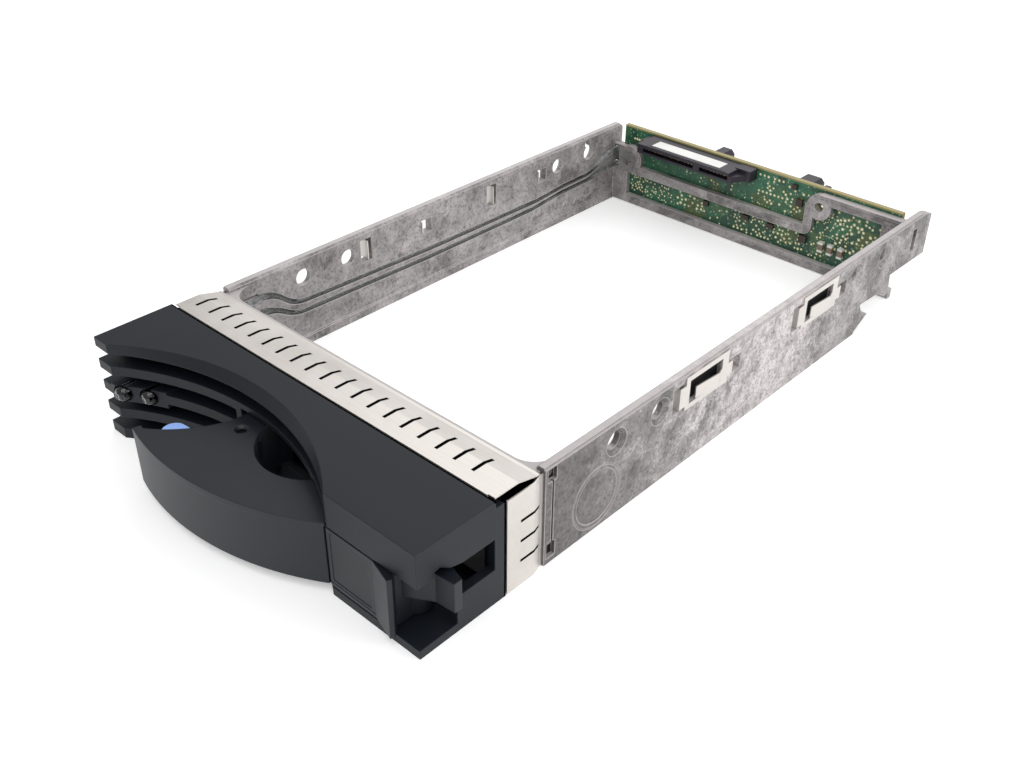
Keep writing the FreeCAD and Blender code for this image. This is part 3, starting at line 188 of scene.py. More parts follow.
class CaddySizes(bpy.types.PropertyGroup):
    """Sizes of the fine pieces."""

    via_radius: bpy.props.FloatProperty(
        name="Via radius", description="Radius of a plated hole's pad on the board",
        subtype="DISTANCE", unit="LENGTH", min=0.0001, max=0.002, default=0.44 * MM)
    grain: bpy.props.FloatProperty(
        name="Mould grain", description="Size of the texture in the moulded faces",
        subtype="DISTANCE", unit="LENGTH", min=0.0001, max=0.002, default=0.35 * MM)
    edge: bpy.props.FloatProperty(
        name="Edge radius", description="Radius at which moulded edges are seen rounded",
        subtype="DISTANCE", unit="LENGTH", min=0.0, max=0.002, default=0.3 * MM)


def add(tree, kind, links=None, inputs=None, stops=None, **settings):
    """Adds a node with its properties, input values, ramp stops and the sockets linked to its inputs."""
    made = tree.nodes.new(kind)
    for name, value in settings.items():
        setattr(made, name, value)
    for name, value in (inputs or {}).items():
        made.inputs[name].default_value = value
    for name, socket in (links or {}).items():
        tree.links.new(socket, made.inputs[name])
    for index, (position, colour) in enumerate(stops or ()):
        elements = made.color_ramp.elements
        element = elements[index] if index < len(elements) else elements.new(position)
        element.position = position
        element.color = colour
    return made


def new_material(name, inputs):
    """Material with one Principled shader: returns it, its tree, the shader and the solid's coordinates."""
    material = bpy.data.materials.new(name)
    material.use_nodes = True
    tree = material.node_tree
    tree.nodes.clear()
    shader = add(tree, "ShaderNodeBsdfPrincipled", inputs=inputs)
    add(tree, "ShaderNodeOutputMaterial", links={"Surface": shader.outputs["BSDF"]})
    where = add(tree, "ShaderNodeTexCoord").outputs["Object"]
    return material, tree, shader, where


def edge_mask(tree, radius, low, high):
    """White where the surface lies within the radius of an edge, with the rounded normal."""
    bevel = add(tree, "ShaderNodeBevel", inputs={"Radius": radius}, samples=6)
    geometry = add(tree, "ShaderNodeNewGeometry")
    dot = add(tree, "ShaderNodeVectorMath", operation="DOT_PRODUCT",
              links={0: bevel.outputs["Normal"], 1: geometry.outputs["Normal"]})
    mask = add(tree, "ShaderNodeMapRange", links={"Value": dot.outputs["Value"]},
               inputs={"From Min": high, "From Max": low, "To Min": 0.0, "To Max": 1.0})
    return mask.outputs["Result"], bevel.outputs["Normal"]


def within(tree, value, low, high):
    """One between two limits in millimetres and zero outside them."""
    above = add(tree, "ShaderNodeMath", operation="GREATER_THAN", links={0: value}, inputs={1: low * MM})
    below = add(tree, "ShaderNodeMath", operation="LESS_THAN", links={0: value}, inputs={1: high * MM})
    between = add(tree, "ShaderNodeMath", operation="MULTIPLY",
                  links={0: above.outputs[0], 1: below.outputs[0]})
    return between.outputs[0]


def die_cast_alloy(colours):
    """Die cast light alloy, bare: cloudy grey with crisp flecks from the flow in the mould, painted shade
    towards the right front, stained towards the rear, and pale in spots halfway along the right rail,
    partly wear from the bay and partly a painted highlight. Its tops carry a painted highlight, its edges a
    pale that is part wear and part painted highlight, and the pockets and the nose behind the bezel carry
    painted shade."""
    material, tree, shader, where = new_material("die_cast_alloy", {"Metallic": 0.3})
    base = tuple(colours.casting)
    place = add(tree, "ShaderNodeSeparateXYZ", links={"Vector": where})
    geometry = add(tree, "ShaderNodeNewGeometry")
    facing = add(tree, "ShaderNodeSeparateXYZ", links={"Vector": geometry.outputs["Normal"]})
    clouds = add(tree, "ShaderNodeTexNoise", links={"Vector": where},
                 inputs={"Scale": per_mm(9.0), "Detail": 9.0, "Roughness": 0.7, "Distortion": 0.4})
    cloudy = add(tree, "ShaderNodeValToRGB", links={"Fac": clouds.outputs["Fac"]},
                 stops=((0.34, shaded(base, 0.5)), (0.46, shaded(base, 0.95)), (0.56, shaded(base, 1.2)),
                        (0.68, shaded(base, 1.7))))
    rightward = add(tree, "ShaderNodeMapRange", links={"Value": place.outputs["X"]},
                    inputs={"From Min": -50 * MM, "From Max": 50 * MM, "To Min": 0.15, "To Max": 1.0})
    forward = add(tree, "ShaderNodeMapRange", links={"Value": place.outputs["Y"]},
                  inputs={"From Min": -60 * MM, "From Max": 0.0, "To Min": 0.85, "To Max": 0.0})
    # Painted shade: the front, most of all on the right, is darker where less light falls
    corner = add(tree, "ShaderNodeMath", operation="MULTIPLY",
                 links={0: forward.outputs["Result"], 1: rightward.outputs["Result"]})
    front_shade = add(tree, "ShaderNodeMix", data_type="RGBA", blend_type="MULTIPLY",
                  links={FACTOR: corner.outputs[0], FIRST: cloudy.outputs["Color"]},
                  inputs={SECOND: (0.32, 0.32, 0.32, 1)})
    flow = add(tree, "ShaderNodeTexNoise", links={"Vector": where}, noise_dimensions="4D",
               inputs={"Scale": per_mm(12.0), "Detail": 9.0, "Roughness": 0.75, "W": 3.1})
    rearward = add(tree, "ShaderNodeMapRange", links={"Value": place.outputs["Y"]},
                   inputs={"From Min": 50 * MM, "From Max": 95 * MM, "To Min": 0.0, "To Max": 0.06})
    spread = add(tree, "ShaderNodeMath", operation="ADD",
                 links={0: flow.outputs["Fac"], 1: rearward.outputs["Result"]})
    dark = add(tree, "ShaderNodeValToRGB", links={"Fac": spread.outputs["Value"]},
               stops=((0.56, (0, 0, 0, 1)), (0.61, (0.65, 0.65, 0.65, 1))))
    stained = add(tree, "ShaderNodeMix", data_type="RGBA",
                  links={FACTOR: dark.outputs["Color"], FIRST: front_shade.outputs[RESULT]},
                  inputs={SECOND: shaded(base, 0.36)})
    # Pale spots: partly wear, partly a painted highlight, strongest on the right rail halfway along
    rub = add(tree, "ShaderNodeTexNoise", links={"Vector": where}, noise_dimensions="4D",
              inputs={"Scale": per_mm(4.5), "Detail": 10.0, "Roughness": 0.85, "W": 7.7})
    along = add(tree, "ShaderNodeMapRange", links={"Value": place.outputs["Y"]},
                inputs={"From Min": -60 * MM, "From Max": 100 * MM})
    course = add(tree, "ShaderNodeValToRGB", links={"Fac": along.outputs["Result"]},
                 stops=((0.0, (0, 0, 0, 1)), (0.38, (0.75, 0.75, 0.75, 1)), (0.55, (1, 1, 1, 1)),
                        (0.75, (0.4, 0.4, 0.4, 1)), (1.0, (0.1, 0.1, 0.1, 1))))
    shift = add(tree, "ShaderNodeMapRange", links={"Value": course.outputs["Color"]},
                inputs={"To Min": -0.15, "To Max": 0.09})
    slid = add(tree, "ShaderNodeMath", operation="ADD",
               links={0: rub.outputs["Fac"], 1: shift.outputs["Result"]})
    pale = add(tree, "ShaderNodeValToRGB", links={"Fac": slid.outputs["Value"]},
               stops=((0.48, (0, 0, 0, 1)), (0.62, (0.9, 0.9, 0.9, 1))))
    patches = add(tree, "ShaderNodeMath", operation="MULTIPLY",
                  links={0: pale.outputs["Color"], 1: rightward.outputs["Result"]})
    rubbed_and_lit = add(tree, "ShaderNodeMix", data_type="RGBA",
                 links={FACTOR: patches.outputs[0], FIRST: stained.outputs[RESULT]},
                 inputs={SECOND: shaded(base, 2.2)})
    speck = add(tree, "ShaderNodeTexNoise", links={"Vector": where},
                inputs={"Scale": per_mm(0.9), "Detail": 5.0, "Roughness": 0.75})
    flecks = add(tree, "ShaderNodeValToRGB", links={"Fac": speck.outputs["Fac"]},
                 stops=((0.38, (0.35, 0.34, 0.35, 1)), (0.45, (0.75, 0.75, 0.75, 1)), (0.55, (1, 1, 1, 1))))
    flecked = add(tree, "ShaderNodeMix", data_type="RGBA", blend_type="MULTIPLY",
                  links={FIRST: rubbed_and_lit.outputs[RESULT], SECOND: flecks.outputs["Color"]},
                  inputs={FACTOR: 0.75})
    # Painted highlight: faces turned upward are lighter, as if lit from above
    upward = add(tree, "ShaderNodeMapRange", links={"Value": facing.outputs["Z"]},
                 inputs={"From Min": 0.8, "From Max": 0.98, "To Min": 0.0, "To Max": 0.7})
    lit_tops = add(tree, "ShaderNodeMix", data_type="RGBA",
                 links={FACTOR: upward.outputs["Result"], FIRST: flecked.outputs[RESULT]},
                 inputs={SECOND: shaded(base, 1.75)})
    # Pale edges: partly wear, partly a painted highlight
    mask, rounded = edge_mask(tree, 0.35 * MM, 0.97, 0.999)
    worn_and_lit = add(tree, "ShaderNodeMix", data_type="RGBA", links={FACTOR: mask, FIRST: lit_tops.outputs[RESULT]},
               inputs={SECOND: shaded(base, 1.5)})
    # Painted shade: the floors of the sunk pockets, and the nose behind the bezel, go near black
    sideways = add(tree, "ShaderNodeMath", operation="ABSOLUTE", links={0: facing.outputs["X"]})
    sunk = add(tree, "ShaderNodeMath", operation="MAXIMUM",
               links={0: within(tree, place.outputs["X"], *POCKETS_RIGHT),
                      1: within(tree, place.outputs["X"], *POCKETS_LEFT)})
    flat = add(tree, "ShaderNodeMath", operation="GREATER_THAN",
               links={0: sideways.outputs[0]}, inputs={1: 0.9})
    pocket_shade = add(tree, "ShaderNodeMath", operation="MULTIPLY",
                links={0: sunk.outputs[0], 1: flat.outputs[0]})
    nose = within(tree, place.outputs["Y"], 2 * NOSE_REAR, NOSE_REAR)
    black = add(tree, "ShaderNodeMath", operation="MAXIMUM", links={0: pocket_shade.outputs[0], 1: nose})
    painted_shade = add(tree, "ShaderNodeMix", data_type="RGBA",
                    links={FACTOR: black.outputs[0], FIRST: worn_and_lit.outputs[RESULT]},
                    inputs={SECOND: linear("#121214")})
    tree.links.new(painted_shade.outputs[RESULT], shader.inputs["Base Color"])
    rough = add(tree, "ShaderNodeMapRange", links={"Value": rub.outputs["Fac"]},
                inputs={"From Min": 0.4, "From Max": 0.72, "To Min": 0.6, "To Max": 0.38})
    tree.links.new(rough.outputs["Result"], shader.inputs["Roughness"])
    bump = add(tree, "ShaderNodeBump", links={"Height": speck.outputs["Fac"], "Normal": rounded},
               inputs={"Strength": 0.35, "Distance": 0.08 * MM})
    tree.links.new(bump.outputs["Normal"], shader.inputs["Normal"])
    return material


def moulded_plastic(name, colour, roughness, gloss, grain, edge, seams=()):
    """Moulded resin with a fine spark eroded grain, uneven in tone, and paler on the edges, partly from
    wear and partly as a painted highlight. Seams are two pairs of limits in Y and Z, between which the
    moulding is painted black as the shade of a narrow gap."""
    material, tree, shader, where = new_material(
        name, {"Roughness": roughness, "IOR": 1.55, "Specular IOR Level": gloss})
    haze = add(tree, "ShaderNodeTexNoise", links={"Vector": where},
               inputs={"Scale": per_mm(24.0), "Detail": 4.0, "Roughness": 0.55})
    tone = add(tree, "ShaderNodeValToRGB", links={"Fac": haze.outputs["Fac"]},
               stops=((0.3, shaded(colour, 0.85)), (0.7, shaded(colour, 1.15))))
    # Pale edges: partly wear, partly a painted highlight
    mask, rounded = edge_mask(tree, edge, 0.93, 0.999)
    final = add(tree, "ShaderNodeMix", data_type="RGBA",
                links={FACTOR: mask, FIRST: tone.outputs["Color"]}, inputs={SECOND: shaded(colour, 2.0)})
    if seams:
        place = add(tree, "ShaderNodeSeparateXYZ", links={"Vector": where})
        side, top = [add(tree, "ShaderNodeMath", operation="MULTIPLY",
                         links={0: within(tree, place.outputs["Y"], *limits_y),
                                1: within(tree, place.outputs["Z"], *limits_z)})
                     for limits_y, limits_z in seams]
        gap = add(tree, "ShaderNodeMath", operation="MAXIMUM",
                  links={0: side.outputs[0], 1: top.outputs[0]})
        # Painted shade: the bands in the gaps go black
        final = add(tree, "ShaderNodeMix", data_type="RGBA",
                    links={FACTOR: gap.outputs[0], FIRST: final.outputs[RESULT]},
                    inputs={SECOND: linear("#020202")})
        # The painted shade takes the gloss away as well. Where the gloss is kept as one value it is evened
        # out to its mean, and only the black colour marks the gap
        sheen = add(tree, "ShaderNodeMapRange", links={"Value": gap.outputs[0]},
                    inputs={"To Min": gloss, "To Max": 0.0})
        tree.links.new(sheen.outputs["Result"], shader.inputs["Specular IOR Level"])
    tree.links.new(final.outputs[RESULT], shader.inputs["Base Color"])
    spark = add(tree, "ShaderNodeTexNoise", links={"Vector": where},
                inputs={"Scale": 1.0 / grain, "Detail": 2.0, "Roughness": 0.5})
    bump = add(tree, "ShaderNodeBump", links={"Height": spark.outputs["Fac"], "Normal": rounded},
               inputs={"Strength": 0.25, "Distance": 0.03 * MM})
    tree.links.new(bump.outputs["Normal"], shader.inputs["Normal"])
    return material


def rolled_stainless(name, colours, slits=(), ends=()):
    """Bright rolled stainless strip: nearly white, a faint grain along the roll and light handling marks.
    Round its slits it is painted dark in bands wider than the slits, as the shade seen through them."""
    material, tree, shader, where = new_material(name, {"Metallic": 0.7, "Roughness": 0.36})
    base = tuple(colours.stainless)
    rolled = add(tree, "ShaderNodeMapping", links={"Vector": where}, inputs={"Scale": (0.05, 1.0, 1.0)})
    # Roll grain is under 0.1 mm on the real strip, drawn at 0.5 mm so that it shows
    lines = add(tree, "ShaderNodeTexNoise", links={"Vector": rolled.outputs["Vector"]},
                inputs={"Scale": per_mm(0.5), "Detail": 3.0, "Roughness": 0.6})
    tone = add(tree, "ShaderNodeValToRGB", links={"Fac": lines.outputs["Fac"]},
               stops=((0.35, shaded(base, 0.97)), (0.65, shaded(base, 1.02))))
    smear = add(tree, "ShaderNodeTexNoise", links={"Vector": where},
                inputs={"Scale": per_mm(12.0), "Detail": 4.0, "Roughness": 0.6})
    dull = add(tree, "ShaderNodeValToRGB", links={"Fac": smear.outputs["Fac"]},
               stops=((0.3, (0.88, 0.87, 0.86, 1)), (0.6, (1, 1, 1, 1))))
    final = add(tree, "ShaderNodeMix", data_type="RGBA", blend_type="MULTIPLY",
                links={FIRST: tone.outputs["Color"], SECOND: dull.outputs["Color"]}, inputs={FACTOR: 0.8})
    if slits:
        axis, first, pitch, count, half = slits
        place = add(tree, "ShaderNodeSeparateXYZ", links={"Vector": where})
        start = first - pitch / 2
        beside = add(tree, "ShaderNodeMath", operation="SUBTRACT", links={0: place.outputs[axis]},
                     inputs={1: start * MM})
        cell = add(tree, "ShaderNodeMath", operation="FLOORED_MODULO", links={0: beside.outputs["Value"]},
                   inputs={1: pitch * MM})
        across = within(tree, cell.outputs["Value"], pitch / 2 - half, pitch / 2 + half)
        among = within(tree, place.outputs[axis], start, start + count * pitch)
        along = within(tree, place.outputs["Y"], *ends)
        row = add(tree, "ShaderNodeMath", operation="MULTIPLY", links={0: across, 1: among})
        slit_shade = add(tree, "ShaderNodeMath", operation="MULTIPLY", links={0: row.outputs[0], 1: along})
        # Painted shade along the slits, in bands wider than the slits themselves
        final = add(tree, "ShaderNodeMix", data_type="RGBA",
                    links={FACTOR: slit_shade.outputs[0], FIRST: final.outputs[RESULT]},
                    inputs={SECOND: linear("#0C0B0A")})
    tree.links.new(final.outputs[RESULT], shader.inputs["Base Color"])
    rough = add(tree, "ShaderNodeMapRange", links={"Value": smear.outputs["Fac"]},
                inputs={"From Min": 0.3, "From Max": 0.7, "To Min": 0.3, "To Max": 0.44})
    tree.links.new(rough.outputs["Result"], shader.inputs["Roughness"])
    return material


def turned_steel(name, hex_colour, roughness):
    """Drawn or turned steel with a soft haze."""
    material, tree, shader, where = new_material(name, {"Metallic": 1.0, "Roughness": roughness})
    base = linear(hex_colour)
    haze = add(tree, "ShaderNodeTexNoise", links={"Vector": where},
               inputs={"Scale": per_mm(1.5), "Detail": 3.0, "Roughness": 0.6})
    tone = add(tree, "ShaderNodeValToRGB", links={"Fac": haze.outputs["Fac"]},
               stops=((0.3, shaded(base, 0.85)), (0.7, shaded(base, 1.1))))
    tree.links.new(tone.outputs["Color"], shader.inputs["Base Color"])
    return material


def clear_polycarbonate():
    """Clear polished moulding: bright rim, and dark through the middle where it shows what lies behind."""
    material, tree, shader, where = new_material(
        "clear_polycarbonate", {"Roughness": 0.04, "IOR": 1.58, "Transmission Weight": 1.0})
    flow = add(tree, "ShaderNodeTexNoise", links={"Vector": where},
               inputs={"Scale": per_mm(3.0), "Detail": 2.0, "Roughness": 0.5})
    tone = add(tree, "ShaderNodeValToRGB", links={"Fac": flow.outputs["Fac"]},
               stops=((0.3, linear("#B9BDBD")), (0.7, linear("#DDE1E1"))))
    tree.links.new(tone.outputs["Color"], shader.inputs["Base Color"])
    return material


def solder_masked_board(colours, top_z):
    """Glass epoxy board: green mask, olive over copper areas, pale tented holes, and muted tan at the bare
    top border and the cut edges."""
    material, tree, shader, where = new_material(
        "solder_masked_glass_epoxy", {"Roughness": 0.4, "IOR": 1.5})
    mask = tuple(colours.solder_mask)
    pours = add(tree, "ShaderNodeTexVoronoi", links={"Vector": where}, distance="CHEBYCHEV",
                inputs={"Scale": per_mm(6.0), "Randomness": 1.0})
    copper = add(tree, "ShaderNodeValToRGB", links={"Fac": pours.outputs["Color"]},
                 stops=((0.3, shaded(mask, 0.6)), (0.45, mask), (0.72, shaded(mask, 1.25)),
                        (0.78, linear("#4F6034"))))
    blur = add(tree, "ShaderNodeTexNoise", links={"Vector": where},
               inputs={"Scale": per_mm(1.2), "Detail": 4.0, "Roughness": 0.75})
    threads = add(tree, "ShaderNodeValToRGB", links={"Fac": blur.outputs["Fac"]},
                  stops=((0.36, (0.45, 0.45, 0.45, 1)), (0.6, (1, 1, 1, 1))))
    coated = add(tree, "ShaderNodeMix", data_type="RGBA", blend_type="MULTIPLY",
                 links={FIRST: copper.outputs["Color"], SECOND: threads.outputs["Color"]},
                 inputs={FACTOR: 0.8})
    holes = add(tree, "ShaderNodeTexVoronoi", links={"Vector": where},
                inputs={"Scale": per_mm(1.3), "Randomness": 0.85})
    tented = add(tree, "ShaderNodeMath", operation="LESS_THAN", links={0: holes.outputs["Distance"]},
                 inputs={1: 0.2})
    dotted = add(tree, "ShaderNodeMix", data_type="RGBA",
                 links={FACTOR: tented.outputs["Value"], FIRST: coated.outputs[RESULT]},
                 inputs={SECOND: linear("#86A488")})
    place = add(tree, "ShaderNodeSeparateXYZ", links={"Vector": where})
    geometry = add(tree, "ShaderNodeNewGeometry")
    facing = add(tree, "ShaderNodeSeparateXYZ", links={"Vector": geometry.outputs["Normal"]})
    flat = add(tree, "ShaderNodeMath", operation="ABSOLUTE", links={0: facing.outputs["Y"]})
    cut_edge = add(tree, "ShaderNodeMath", operation="LESS_THAN", links={0: flat.outputs["Value"]},
                   inputs={1: 0.5})
    border = add(tree, "ShaderNodeMath", operation="GREATER_THAN", links={0: place.outputs["Z"]},
                 inputs={1: top_z - BOARD_BORDER * MM})
    bare = add(tree, "ShaderNodeMath", operation="MAXIMUM",
               links={0: cut_edge.outputs[0], 1: border.outputs[0]})
    final = add(tree, "ShaderNodeMix", data_type="RGBA",
                links={FACTOR: bare.outputs[0], FIRST: dotted.outputs[RESULT]},
                inputs={SECOND: linear("#9A8F5C")})
    tree.links.new(final.outputs[RESULT], shader.inputs["Base Color"])
    return material


def plated_metal(name, dark, pale, metallic, roughness):
    """Plated or tinned copper: two tones of one finish in small patches of tarnish."""
    material, tree, shader, where = new_material(name, {"Metallic": metallic, "Roughness": roughness})
    tarnish = add(tree, "ShaderNodeTexNoise", links={"Vector": where},
                  inputs={"Scale": per_mm(2.0), "Detail": 2.0, "Roughness": 0.6})
    tone = add(tree, "ShaderNodeValToRGB", links={"Fac": tarnish.outputs["Fac"]},
               stops=((0.4, linear(dark)), (0.6, linear(pale))))
    tree.links.new(tone.outputs["Color"], shader.inputs["Base Color"])
    return material


def fired_ceramic(low, high):
    """Multilayer ceramic body: warm brown, with silvered ends above and below."""
    material, tree, shader, where = new_material("fired_ceramic", {"Roughness": 0.4})
    place = add(tree, "ShaderNodeSeparateXYZ", links={"Vector": where})
    rise = add(tree, "ShaderNodeMath", operation="SUBTRACT", links={0: place.outputs["Z"]},
               inputs={1: (low[2] + high[2]) / 2})
    away = add(tree, "ShaderNodeMath", operation="ABSOLUTE", links={0: rise.outputs["Value"]})
    end = add(tree, "ShaderNodeMath", operation="GREATER_THAN", links={0: away.outputs["Value"]},
              inputs={1: (high[2] - low[2]) / 2 - CERAMIC_END * MM})
    tone = add(tree, "ShaderNodeMix", data_type="RGBA", links={FACTOR: end.outputs["Value"]},
               inputs={FIRST: linear("#7A6656"), SECOND: linear("#DCDAD5")})
    tree.links.new(tone.outputs[RESULT], shader.inputs["Base Color"])
    return material


def dress(material, *nodes):
    """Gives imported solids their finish."""
    for node in nodes:
        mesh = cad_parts[node].data
        mesh.materials.clear()
        mesh.materials.append(material)


def make_piece(name, mesh, material, body):
    """Turns a finished mesh into a piece of the scene that rides on a body."""
    data = bpy.data.meshes.new(name)
    mesh.to_mesh(data)
    mesh.free()
    data.materials.append(material)
    piece = bpy.data.objects.new(name, data)
    bpy.context.scene.collection.objects.link(piece)
    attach(piece, body)


def add_stud(mesh, place, radius, tip, height):
    """Low round stud on the board's front face, pointing at the viewer."""
    turn = Matrix.Translation(place) @ Matrix.Rotation(math.radians(90), 4, "X")
    bmesh.ops.create_cone(mesh, cap_ends=True, segments=12, radius1=radius, radius2=tip, depth=height,
                          matrix=turn)


def add_bar(mesh, place, size, rounding):
    """Bar with rounded edges."""
    shape = Matrix.Translation(place) @ Matrix.Diagonal((*size, 1.0))
    made = bmesh.ops.create_cube(mesh, size=1.0, matrix=shape)
    edges = list({edge for vert in made["verts"] for edge in vert.link_edges})
    bmesh.ops.bevel(mesh, geom=edges, offset=rounding, segments=2, affect="EDGES")


class CADDY_OT_stage(bpy.types.Operator):
    """Set the floor, the lamps and the camera"""

    bl_idname = "caddy.stage"
    bl_label = "Studio"

    def execute(self, context):
        scene = context.scene
        self.floor(scene)
        for name, place, width, power in LAMPS:
            lamp = bpy.data.lights.new(name + "_softbox", "AREA")
            lamp.size = width
            lamp.energy = power
            holder = bpy.data.objects.new(name + "_softbox", lamp)
            scene.collection.objects.link(holder)
            holder.location = place
            holder.rotation_euler = (-Vector(place)).to_track_quat("-Z", "Y").to_euler()
        self.surround(scene)
        self.camera(scene)
        scene.view_settings.view_transform = "Standard"
        return {"FINISHED"}

    def floor(self, scene):
        """White paper, lifted only where it is seen or reflected, so that the shadow stays."""
        mesh = bmesh.new()
        bmesh.ops.create_grid(mesh, x_segments=1, y_segments=1, size=FLOOR_HALF)
        data = bpy.data.meshes.new("studio_floor")
        mesh.to_mesh(data)
        mesh.free()
        floor = bpy.data.objects.new("studio_floor", data)
        scene.collection.objects.link(floor)
        floor.location = (0, 0, cad_box[0][2])
        material, tree, shader, where = new_material(
            "white_paper_sweep", {"Roughness": 0.9, "Base Color": linear("#F4F4F4"),
                                  "Emission Color": (0.3, 0.3, 0.3, 1)})
        ray = add(tree, "ShaderNodeLightPath")
        seen = add(tree, "ShaderNodeMath", operation="MAXIMUM",
                   links={0: ray.outputs["Is Camera Ray"], 1: ray.outputs["Is Glossy Ray"]})
        tree.links.new(seen.outputs["Value"], shader.inputs["Emission Strength"])
        data.materials.append(material)

    def surround(self, scene):
        """White to the eye and through clear pieces, dimmer as a light and in reflections."""
        world = bpy.data.worlds.new("white_surround")
        scene.world = world
        world.use_nodes = True
        tree = world.node_tree
        tree.nodes.clear()
        ray = add(tree, "ShaderNodeLightPath")
        seen = add(tree, "ShaderNodeMath", operation="MAXIMUM",
                   links={0: ray.outputs["Is Camera Ray"], 1: ray.outputs["Is Transmission Ray"]})
        dim = add(tree, "ShaderNodeBackground", inputs={"Color": (1, 1, 1, 1), "Strength": 0.62})
        plain = add(tree, "ShaderNodeBackground", inputs={"Color": (1, 1, 1, 1), "Strength": 1.0})
        mixed = add(tree, "ShaderNodeMixShader",
                    links={0: seen.outputs["Value"], 1: dim.outputs[0], 2: plain.outputs[0]})
        add(tree, "ShaderNodeOutputWorld", links={"Surface": mixed.outputs[0]})

    def camera(self, scene):
        """Camera at the photograph's place, with its small roll."""
        data = bpy.data.cameras.new("camera")
        data.sensor_fit = "HORIZONTAL"
        data.sensor_width = 36.0
        data.lens = CAMERA_LENS
        data.clip_start = 0.01
        camera = bpy.data.objects.new("camera", data)
        scene.collection.objects.link(camera)
        forward = CAMERA_FORWARD.normalized()
        level = forward.cross(Vector((0, 0, 1))).normalized()
        above = level.cross(forward)
        right = level * math.cos(CAMERA_ROLL) + above * math.sin(CAMERA_ROLL)
        up = right.cross(forward)
        turn = Matrix((right, up, -forward)).transposed().to_4x4()
        camera.matrix_world = Matrix.Translation(CAMERA_PLACE) @ turn
        scene.camera = camera


class CADDY_OT_cast_tray(bpy.types.Operator):
    """Finish the die cast tray"""

    bl_idname = "caddy.cast_tray"
    bl_label = "Die cast tray"

    def execute(self, context):
        dress(die_cast_alloy(context.scene.caddy_colours), "tray_casting")
        return {"FINISHED"}


class CADDY_OT_bezel(bpy.types.Operator):
    """Finish the moulded bezel"""

    bl_idname = "caddy.bezel"
    bl_label = "Bezel"

    def execute(self, context):
        colour = tuple(context.scene.caddy_colours.moulding)
        sizes = context.scene.caddy_sizes
        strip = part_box("contact_strip_right")[0][1] / MM
        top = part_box("front_bezel")[1][2] / MM
        # Bands of the bezel painted black as the shade in the gaps beside the strips
        seams = (((strip - SIDE_SEAM, strip + SIDE_SEAM_REACH), (0, top - TOP_SKIN)),
                 ((BEZEL_TOP_REAR - TOP_SEAM, BEZEL_TOP_REAR + TOP_SEAM_REACH),
                  (top - TOP_SKIN, top + TOP_MARGIN)))
        dress(moulded_plastic("moulded_pc_abs_bezel", colour, 0.5, 0.28, sizes.grain, sizes.edge, seams),
              "front_bezel")
        foam = moulded_plastic("closed_cell_foam", linear("#060607"), 0.9, 0.1, sizes.grain, 0.05 * MM)
        self.seal(foam)
        return {"FINISHED"}

    def seal(self, foam):
        """Foam strip that shuts the seam between the bezel's floor and the casting's nose."""
        left, right, front, rear, low, high = SEAL
        middle = Vector((left + right, front + rear, low + high)) / 2 * MM
        size = ((right - left) * MM, (rear - front) * MM, (high - low) * MM)
        mesh = bmesh.new()
        add_bar(mesh, middle, size, SEAL_ROUNDING * MM)
        make_piece("nose_seam_seal", mesh, foam, "tray")


class CADDY_OT_handle(bpy.types.Operator):
    """Finish the lever handle, its label plate, latch, pins and springs"""

    bl_idname = "caddy.handle"
    bl_label = "Lever handle"

    def execute(self, context):
        colours = context.scene.caddy_colours
        grain = context.scene.caddy_sizes.grain
        edge = context.scene.caddy_sizes.edge
        colour = shaded(tuple(colours.moulding), 1.1)
        dress(moulded_plastic("moulded_pc_abs_handle", colour, 0.45, 0.35, grain, edge), "lever_handle")
        dress(moulded_plastic("matt_polyester_film", linear("#2A2D31"), 0.55, 0.3, grain, 0.1 * MM),
              "handle_label")
        dress(moulded_plastic("moulded_acetal_blue", tuple(colours.touch_tab), 0.4, 0.4, grain, edge),
              "release_latch")
        dress(turned_steel("ground_steel_pin", "#B4B4B6", 0.25), "handle_pivot_pin")
        dress(turned_steel("blackened_steel_pin", "#2A2A30", 0.4), "latch_pivot_pin")
        dress(turned_steel("drawn_spring_wire", "#9C9CA0", 0.3), "handle_spring", "latch_spring")
        return {"FINISHED"}


class CADDY_OT_strips(bpy.types.Operator):
    """Finish the contact strips and the spring clips"""

    bl_idname = "caddy.strips"
    bl_label = "Strips and clips"

    def execute(self, context):
        colours = context.scene.caddy_colours
        clips = [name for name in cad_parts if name.startswith("spring_clip")]
        dress(rolled_stainless("rolled_stainless_clip", colours), *clips)
        dress(rolled_stainless("rolled_stainless_top", colours, TOP_SLITS, TOP_SLIT_ENDS),
              "contact_strip_top")
        dress(rolled_stainless("rolled_stainless_side", colours, SIDE_SLITS, SIDE_SLIT_ENDS),
              "contact_strip_right", "contact_strip_left")
        return {"FINISHED"}


class CADDY_OT_light_pipes(bpy.types.Operator):
    """Finish the light pipes and their light sources"""

    bl_idname = "caddy.light_pipes"
    bl_label = "Light pipes"

    def execute(self, context):
        dress(clear_polycarbonate(), "light_pipe_upper", "light_pipe_lower", "status_leds")
        return {"FINISHED"}


